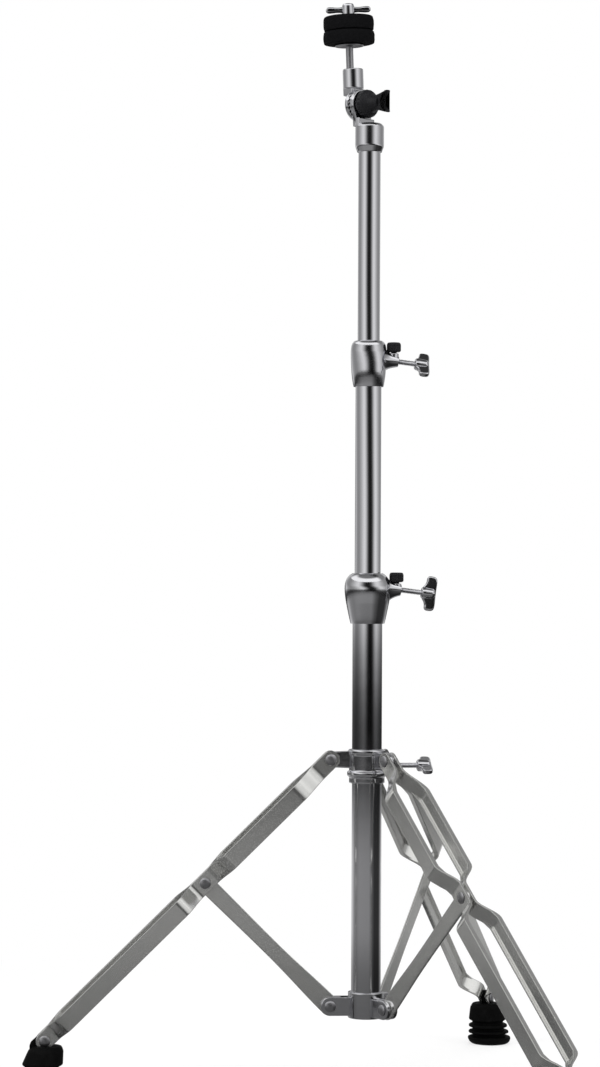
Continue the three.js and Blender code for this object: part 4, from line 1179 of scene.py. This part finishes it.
# Height or distance as a share of the cards' radius, grey
WALL_FADES = ((0.0, 0.08), (0.035, 0.1), (0.065, 0.4), (0.09, 1.0), (1.0, 1.0))
CEILING_GREYS = ((0.0, 0.17), (0.32, 0.18), (0.5, 1.0), (1.0, 1.0))
GROUND_GREYS = ((0.0, 0.3), (0.1, 0.3), (0.18, 0.32), (0.28, 0.6), (0.5, 0.62), (0.7, 0.4), (0.9, 0.15), (1.0, 0.1))
# Share of a whole turn, from behind through the left, the camera's direction and the right, strength
CEILING_SIDES = ((0.0, 0.2), (0.09, 0.2), (0.17, 1.0), (0.7, 1.0), (0.77, 0.22), (1.0, 0.2))
GROUND_SIDES = (
    (0.0, 0.1), (0.015, 0.15), (0.03, 0.9), (0.07, 1.0), (0.13, 0.9), (0.2, 0.4), (0.27, 0.32),
    (0.35, 0.4), (0.56, 0.38), (0.62, 0.16), (0.68, 0.05), (0.8, 0.05), (0.845, 0.22), (0.87, 0.5),
    (0.9, 0.95), (0.93, 1.0), (0.97, 0.9), (0.985, 0.15), (1.0, 0.1),
)  # fmt: skip
# Name, azimuth in degrees, distance, height and size in metres, share of the lamp power
LAMPS = (
    ("left_lamp", -58, 2.4, 1.7, 1.5, 1.0),
    ("right_lamp", 52, 2.6, 1.5, 1.3, 0.8),
    ("back_lamp", 165, 2.6, 2.1, 1.4, 0.5),
    ("top_lamp", 10, 0.5, 2.8, 1.6, 0.7),
)
# The height that the lamps are aimed at
LAMP_AIM = 0.4


def around(azimuth, distance, height):
    """A point at an azimuth in degrees about the tubes' axis, 0 towards the camera and growing to its right."""
    angle = math.radians(azimuth + AZIMUTH_ZERO)
    return np.array([AXIS_X + distance * math.cos(angle), distance * math.sin(angle), height])


def both_ways(half):
    """Stops from behind through the camera's direction and back, from stops given from the camera's to behind."""
    before = [(0.5 - place / 2, level) for place, level in half[::-1]]
    return (*before, *((0.5 + place / 2, level) for place, level in half[1:]))


def seen_itself(paint):
    """1 where the camera, a reflection or a clear surface looks, 0 where light is gathered."""
    ray = paint.node("ShaderNodeLightPath").outputs
    camera, glossy, clear = (Value(paint, ray[f"Is {kind} Ray"]) for kind in ("Camera", "Glossy", "Transmission"))
    return paint.maths("MAXIMUM", paint.maths("MAXIMUM", camera, glossy), clear)


def floor_material(stage):
    """A matt floor that turns to plain white away from the stand, for the camera and in reflections."""
    paint = material_paint("pale_floor")
    matt = paint.node("ShaderNodeBsdfDiffuse", Color=colour(stage.floor))
    away = paint.node("ShaderNodeVectorMath", {"operation": "DISTANCE"}, _0=paint.place, _1=(AXIS_X, 0, 0))
    far = paint.band(away.outputs["Value"], WHITE_FROM, WHITE_FULL)
    white = stage.floor_whiteness + (1 - stage.floor_whiteness) * far
    bright = paint.node("ShaderNodeEmission", Color=WHITE, Strength=1.0)
    share = seen_itself(paint) * white
    mix = paint.node("ShaderNodeMixShader", Fac=share, _1=matt.outputs[0], _2=bright.outputs[0])
    paint.node("ShaderNodeOutputMaterial", Surface=mix.outputs[0])
    return paint.owner


def world_light(stage):
    """Even light from all around, plain white where it is seen itself."""
    paint = Paint(bpy.data.worlds.new("studio"))
    light = paint.node("ShaderNodeBackground", Color=WHITE, Strength=stage.world_strength)
    shown = paint.node("ShaderNodeBackground", Color=WHITE, Strength=1.0)
    mix = paint.node("ShaderNodeMixShader", Fac=seen_itself(paint), _1=light.outputs[0], _2=shown.outputs[0])
    paint.node("ShaderNodeOutputWorld", Surface=mix.outputs[0])
    return paint.owner


def card_material(name, *ramps, lean=0.0):
    """A glowing card whose grey is the product of ramps: each has a measure and stops of share and grey.

    Measures: turn, from 0 behind the stand through its left, 0.5 towards the camera and its right to 1; distance
    and height as shares of the cards' radius. Low down the greys are turned to the right, by up to lean degrees.
    """
    paint = material_paint(name)
    x, y, z = (Value(paint, part) for part in paint.node("ShaderNodeSeparateXYZ", Vector=paint.place).outputs)
    zero = math.radians(AZIMUTH_ZERO)
    front = (x - AXIS_X) * math.cos(zero) + y * math.sin(zero)
    side = (x - AXIS_X) * -math.sin(zero) + y * math.cos(zero)
    fade = {"Value": z, "From_Min": LEAN_FULL, "From_Max": LEAN_NONE, "To_Min": lean / 360, "To_Max": 0.0}
    shift = Value(paint, paint.node("ShaderNodeMapRange", **fade).outputs[0])
    measures = {
        "turn": paint.maths("ARCTAN2", side, front) / (2 * math.pi) + 0.5 - shift,
        "distance": paint.maths("SQRT", front**2 + side**2) / CARD_RADIUS,
        "height": z / CARD_RADIUS,
    }
    grey = 1.0
    for measure, stops in ramps:
        stops = [(place, (level, level, level, 1)) for place, level in stops]
        ramp = paint.node("ShaderNodeValToRGB", {"stops": stops}, Fac=measures[measure]).outputs[0]
        grey = Value(paint, ramp) * grey
    glow = paint.node("ShaderNodeEmission", Color=grey, Strength=1.0)
    paint.node("ShaderNodeOutputMaterial", Surface=glow.outputs[0])
    return paint.owner


def stage_object(name, points, faces, material):
    """A mesh that isn't part of the stand."""
    mesh = bpy.data.meshes.new(name)
    mesh.from_pydata([tuple(point) for point in points], [], faces)
    mesh.materials.append(material)
    made = new_object(name, mesh)
    return made


def reflected_only(name, points, faces, *ramps, lean=0.0):
    """A card that only the reflections show."""
    made = stage_object(name, points, faces, card_material(name, *ramps, lean=lean))
    for kind in ("camera", "diffuse", "shadow", "transmission", "volume_scatter"):
        setattr(made, f"visible_{kind}", False)


def studio_cards():
    """A round wall, a ceiling and a ground, for the plating to reflect."""
    rim = arc(CARD_RADIUS, 0, 360, ROUND_SIDES, middle=(AXIS_X, 0))[:-1]
    circle = np.concatenate([rim, np.zeros((ROUND_SIDES, 1))], 1)
    disc, top = [list(range(ROUND_SIDES))], circle + CARD_HEIGHT * UP
    turns = ("turn", both_ways(WALL_GREYS))
    wall = np.concatenate([circle, top])
    reflected_only("wall_card", wall, grid_faces(2, ROUND_SIDES), turns, ("height", WALL_FADES), lean=WALL_LEAN)
    reflected_only("ceiling_card", top, disc, ("distance", CEILING_GREYS), ("turn", CEILING_SIDES))
    ground = circle + GROUND_LIFT * UP
    reflected_only("ground_card", ground, disc, ("distance", GROUND_GREYS), ("turn", GROUND_SIDES))


def soft_lamps(stage):
    """Round lamps aimed at the stand, that reflections don't show."""
    for name, azimuth, distance, height, size, share in LAMPS:
        data = bpy.data.lights.new(name, "AREA")
        data.shape, data.size = "DISK", size
        data.energy = stage.lamp_power * share
        lamp = new_object(name, data)
        lamp.location = around(azimuth, distance, height)
        aim = Vector(on_axis(LAMP_AIM)) - lamp.location
        lamp.rotation_euler = aim.to_track_quat("-Z", "Y").to_euler()
        lamp.visible_glossy = False


def place_camera(stage):
    """The camera, from its place and three angles."""
    data = bpy.data.cameras.new("camera")
    data.sensor_fit = "VERTICAL"
    data.sensor_height = 36.0
    data.lens = stage.camera_lens
    data.clip_start = 0.05
    azimuth, pitch, roll = stage.camera_azimuth, stage.camera_pitch, stage.camera_roll
    level = math.cos(pitch)
    forward = np.array([math.cos(azimuth) * level, math.sin(azimuth) * level, math.sin(pitch)])
    right = unit(np.cross(forward, UP))
    up = np.cross(right, forward)
    right, up = right * math.cos(roll) + up * math.sin(roll), up * math.cos(roll) - right * math.sin(roll)
    turn = Matrix(np.stack([right, up, -forward], 1).tolist()).to_4x4()
    camera = new_object("camera", data)
    camera.matrix_world = Matrix.Translation(Vector(stage.camera_place)) @ turn
    bpy.context.scene.camera = camera


def build_stage(stage):
    """Floor, world, soft lamps, cards for the reflections and the camera."""
    scene = bpy.context.scene
    scene.view_settings.view_transform = "Standard"
    scene.world = world_light(stage)
    rim = arc(FLOOR_RADIUS, 0, 360, ROUND_SIDES, middle=(AXIS_X, 0))[:-1]
    stage_object("floor", [(x, y, 0.0) for x, y in rim], [list(range(len(rim)))], floor_material(stage))
    soft_lamps(stage)
    studio_cards()
    place_camera(stage)


# ---- settings


def length(name, default, text):
    """A length property in metres."""
    return bpy.props.FloatProperty(name=name, description=text, default=default, min=0.0, precision=5, unit="LENGTH")


def fraction(name, default, text):
    """A property between 0 and 1."""
    return bpy.props.FloatProperty(name=name, description=text, default=default, min=0.0, max=1.0)


def count(name, default, text):
    """A property that counts what stands round a piece."""
    return bpy.props.IntProperty(name=name, description=text, default=default, min=6, max=60)


def tint(name, default, text):
    """A colour property."""
    return bpy.props.FloatVectorProperty(
        name=name, description=text, default=default, size=3, min=0.0, max=1.0, subtype="COLOR"
    )


def bearing(name, default, text):
    """An angle property, given here in degrees."""
    default = math.radians(default)
    return bpy.props.FloatProperty(name=name, description=text, default=default, subtype="ANGLE", unit="ROTATION")


class StandSizes(bpy.types.PropertyGroup):
    """Sizes of the pieces that the frame's own boxes don't give."""

    tube_wall: length("Tube wall", 0.0012, "Thickness of the three tubes")
    glide_wall: length("Glide wall", 0.002, "Thickness of a glide")
    glide_rim_height: length("Glide rim height", 0.005, "Height of a glide's rim below the tube")
    glide_rim_reach: length("Glide rim reach", 0.0022, "How far a glide's rim stands out")
    bushing_slit: length("Bushing slit", 0.002, "Width of the slit in each clamp bushing")
    strip_width: length("Strip width", 0.015, "Width of a leg strip")
    strip_thickness: length("Strip thickness", 0.002, "Thickness of a leg strip")
    strip_edge: length("Strip edge", 0.0005, "Rounding of a leg strip's edges")
    loop_spread: length("Loop spread", 0.018, "Distance of an open strip from the leg's middle")
    flange_depth: length("Flange depth", 0.0022, "Height of the turned-in edges of a strip")
    flange_thickness: length("Flange thickness", 0.0016, "Thickness of the turned-in edges")
    strut_width: length("Strut width", 0.0146, "Width of a strut")
    strut_waist: length("Strut waist", 0.0132, "Width of a strut at its narrowest")
    strut_thickness: length("Strut thickness", 0.0025, "Thickness of a strut")
    strut_foot_radius: length("Strut foot radius", 0.0084, "Radius of a strut's lower end")
    bracket_thickness: length("Bracket arm", 0.011, "Thickness of a forked bracket arm")
    bracket_arm_radius: length("Bracket arm radius", 0.008, "Radius of an arm about its pin")
    bracket_wall: length("Bracket wall", 0.0023, "Thickness of the bracket's sleeve")
    tripod_collar_wall: length("Tripod collar wall", 0.0022, "Thickness of the sliding collar")
    lug_thickness: length("Lug thickness", 0.004, "Thickness of the collar's lugs")
    pin_radius: length("Pin radius", 0.0027, "Radius of the pivot pins")
    pin_head_radius: length("Pin head radius", 0.0048, "Radius of a pin's head")
    pin_head_height: length("Pin head height", 0.0015, "Height of a pin's domed head")
    foot_radius: length("Foot radius", 0.02, "Radius of a rubber foot at the floor")
    foot_height: length("Foot height", 0.039, "Height of a rubber foot")
    foot_skew: length("Foot skew", 0.0095, "How far a foot's top leans in")
    foot_outset: length("Foot outset", 0.0075, "Distance of a foot's middle outside its rivet")
    tongue_thickness: length("Tongue thickness", 0.004, "Thickness of a foot's tongue")
    bolt_radius: length("Bolt radius", 0.0024, "Radius of the wing bolts")
    thread_pitch: length("Thread pitch", 0.00125, "Distance from one turn of a thread to the next")
    thread_depth: length("Thread depth", 0.00045, "Depth of a thread")
    wing_span: length("Wing span", 0.03, "Width across a wing bolt's ears")
    wing_depth: length("Wing depth", 0.0129, "Depth of the ears along the bolt")
    wing_thickness: length("Wing thickness", 0.0044, "Thickness of the ears")
    disc_radius: length("Disc radius", 0.0132, "Radius of the tilter's toothed discs")
    tooth_depth: length("Tooth depth", 0.0013, "Depth of the tilter's teeth")
    tooth_count: count("Teeth", 24, "Number of the tilter's teeth")
    knurl_count: count("Knurls", 24, "Grooves round a lock screw")
    knurl_depth: length("Knurl depth", 0.0003, "Depth of the grooves round a lock screw")
    lower_felt_radius: length("Lower felt radius", 0.0222, "Radius of the felt below the cymbal")
    upper_felt_radius: length("Upper felt radius", 0.0218, "Radius of the felt above the cymbal")


class StandLooks(bpy.types.PropertyGroup):
    """Colours and shine of the finishes."""

    chrome: tint("Chrome", (0.88, 0.88, 0.91), "Colour of the plated tubes and castings")
    chrome_roughness: fraction("Chrome roughness", 0.06, "How much the plating blurs what it reflects")
    strip: tint("Strip", (0.82, 0.82, 0.8), "Colour of the leg strips and struts")
    strip_metal: fraction("Strip metal", 0.93, "How far the leg strips and struts are bare metal")
    strip_roughness: fraction("Strip roughness", 0.13, "How much the leg strips and struts blur")
    steel: tint("Steel", (0.6, 0.6, 0.62), "Colour of rivets, bolts and washers")
    steel_roughness: fraction("Steel roughness", 0.29, "How much rivets, bolts and washers blur")
    plastic: tint("Plastic", (0.008, 0.008, 0.009), "Colour of the black nut and screw heads")
    plastic_shine: fraction("Plastic shine", 0.18, "Strength of the shine on black plastic")
    rubber: tint("Rubber", (0.0025, 0.0025, 0.0025), "Colour of the feet")
    rubber_shine: fraction("Rubber shine", 0.06, "Strength of the shine on rubber")
    nylon: tint("Nylon", (0.05, 0.05, 0.052), "Colour of bushings, glides and sleeve")
    felt: tint("Felt", (0.004, 0.004, 0.0045), "Colour of the felts")
    felt_shine: fraction("Felt shine", 0.1, "Strength of the shine on felt")


class StageSettings(bpy.types.PropertyGroup):
    """Floor, light and camera."""

    floor: tint("Floor", (0.9, 0.9, 0.9), "Colour of the floor")
    floor_whiteness: fraction("Floor whiteness", 0.72, "Share of the floor that shows as plain white")
    world_strength: bpy.props.FloatProperty(
        name="World strength", description="Light from the surroundings on the object", default=0.55, min=0.0
    )
    lamp_power: bpy.props.FloatProperty(
        name="Lamp power", description="Power of the strongest soft lamp", default=34.0, min=0.0, unit="POWER"
    )
    camera_lens: bpy.props.FloatProperty(
        name="Lens", description="Focal length on a 36 mm high sensor", default=100.88, min=1.0, unit="CAMERA"
    )
    camera_place: bpy.props.FloatVectorProperty(
        name="Camera place",
        description="Where the camera stands",
        default=(-0.1762, -2.5499, 0.4453),
        size=3,
        unit="LENGTH",
    )
    camera_azimuth: bearing("Camera azimuth", 85.78, "Direction of the camera's view in the floor's plane")
    camera_pitch: bearing("Camera pitch", 0.66, "How far the camera looks up")
    camera_roll: bearing("Camera roll", 0.27, "How far the camera is rolled")


# ---- operators and panel


class STAND_OT_tubes(bpy.types.Operator):
    """Make the three polished tubes"""

    bl_idname = "stand.tubes"
    bl_label = "Telescoping tubes"

    def execute(self, context):
        tube_pieces(context.scene.stand_sizes)
        return {"FINISHED"}


class STAND_OT_bushings(bpy.types.Operator):
    """Make the glides and the slit bushings"""

    bl_idname = "stand.bushings"
    bl_label = "Glides and bushings"

    def execute(self, context):
        glide_pieces(context.scene.stand_sizes)
        bushing_pieces(context.scene.stand_sizes)
        return {"FINISHED"}


class STAND_OT_bracket(bpy.types.Operator):
    """Make the forked strut bracket"""

    bl_idname = "stand.bracket"
    bl_label = "Strut bracket"

    def execute(self, context):
        bracket_piece(context.scene.stand_sizes)
        return {"FINISHED"}


class STAND_OT_tripod_collar(bpy.types.Operator):
    """Make the sliding tripod collar"""

    bl_idname = "stand.tripod_collar"
    bl_label = "Tripod collar"

    def execute(self, context):
        tripod_collar_piece(context.scene.stand_sizes)
        return {"FINISHED"}


class STAND_OT_leg_strips(bpy.types.Operator):
    """Make the six pressed leg strips"""

    bl_idname = "stand.leg_strips"
    bl_label = "Leg strips"

    def execute(self, context):
        leg_strips(context.scene.stand_sizes)
        return {"FINISHED"}


class STAND_OT_struts(bpy.types.Operator):
    """Make the three struts"""

    bl_idname = "stand.struts"
    bl_label = "Struts"

    def execute(self, context):
        strut_pieces(context.scene.stand_sizes)
        return {"FINISHED"}


class STAND_OT_rivets(bpy.types.Operator):
    """Make the pivot pins and foot rivets"""

    bl_idname = "stand.rivets"
    bl_label = "Pins and rivets"

    def execute(self, context):
        rivet_pieces(context.scene.stand_sizes)
        return {"FINISHED"}


class STAND_OT_feet(bpy.types.Operator):
    """Make the three rubber feet"""

    bl_idname = "stand.feet"
    bl_label = "Rubber feet"

    def execute(self, context):
        foot_pieces(context.scene.stand_sizes)
        return {"FINISHED"}


class STAND_OT_clamps(bpy.types.Operator):
    """Make the two height collars and their lock screws"""

    bl_idname = "stand.clamps"
    bl_label = "Height clamps"

    def execute(self, context):
        collar_pieces()
        lock_screw_pieces(context.scene.stand_sizes)
        return {"FINISHED"}


class STAND_OT_wing_bolts(bpy.types.Operator):
    """Make the three wing bolts"""

    bl_idname = "stand.wing_bolts"
    bl_label = "Wing bolts"

    def execute(self, context):
        wing_bolt_pieces(context.scene.stand_sizes)
        return {"FINISHED"}


class STAND_OT_tilter(bpy.types.Operator):
    """Make the tilter with its bolt, washer and wing nut"""

    bl_idname = "stand.tilter"
    bl_label = "Tilter"

    def execute(self, context):
        tilter_base_piece(context.scene.stand_sizes)
        tilter_arm_piece(context.scene.stand_sizes)
        hinge_screw_pieces(context.scene.stand_sizes)
        return {"FINISHED"}


class STAND_OT_seat(bpy.types.Operator):
    """Make the rod, cup washer, sleeve, felts and wing nut"""

    bl_idname = "stand.seat"
    bl_label = "Cymbal seat"

    def execute(self, context):
        rod_piece(context.scene.stand_sizes)
        seat_pieces(context.scene.stand_sizes)
        cymbal_nut_piece()
        return {"FINISHED"}


class STAND_OT_stage(bpy.types.Operator):
    """Make the floor, the light and the camera"""

    bl_idname = "stand.stage"
    bl_label = "Stage"

    def execute(self, context):
        build_stage(context.scene.stand_stage)
        return {"FINISHED"}


OPERATORS = (
    STAND_OT_stage,
    STAND_OT_tubes,
    STAND_OT_bushings,
    STAND_OT_bracket,
    STAND_OT_tripod_collar,
    STAND_OT_leg_strips,
    STAND_OT_struts,
    STAND_OT_rivets,
    STAND_OT_feet,
    STAND_OT_clamps,
    STAND_OT_wing_bolts,
    STAND_OT_tilter,
    STAND_OT_seat,
)


class STAND_PT_panel(bpy.types.Panel):
    """Sizes, colours and the makers of the stand's pieces"""

    bl_idname = "STAND_PT_panel"
    bl_label = "Cymbal stand"
    bl_space_type = "VIEW_3D"
    bl_region_type = "UI"
    bl_category = "Stand"

    def draw(self, context):
        scene = context.scene
        for group in (scene.stand_sizes, scene.stand_looks, scene.stand_stage):
            box = self.layout.box()
            for name in group.__annotations__:
                box.prop(group, name)
        for made in OPERATORS:
            self.layout.operator(made.bl_idname)


CLASSES = (StandSizes, StandLooks, StageSettings, *OPERATORS, STAND_PT_panel)


def register():
    """Make the classes and the scene's three groups of settings known."""
    for made in CLASSES:
        bpy.utils.register_class(made)
    bpy.types.Scene.stand_sizes = bpy.props.PointerProperty(type=StandSizes)
    bpy.types.Scene.stand_looks = bpy.props.PointerProperty(type=StandLooks)
    bpy.types.Scene.stand_stage = bpy.props.PointerProperty(type=StageSettings)


def unregister():
    """Take back what register does, in the opposite order."""
    for name in ("stand_stage", "stand_looks", "stand_sizes"):
        delattr(bpy.types.Scene, name)
    for made in reversed(CLASSES):
        bpy.utils.unregister_class(made)


def main():
    """Register and make everything."""
    register()
    for made in OPERATORS:
        group, name = made.bl_idname.split(".")
        getattr(getattr(bpy.ops, group), name)()


if __name__ == "__main__":
    main()
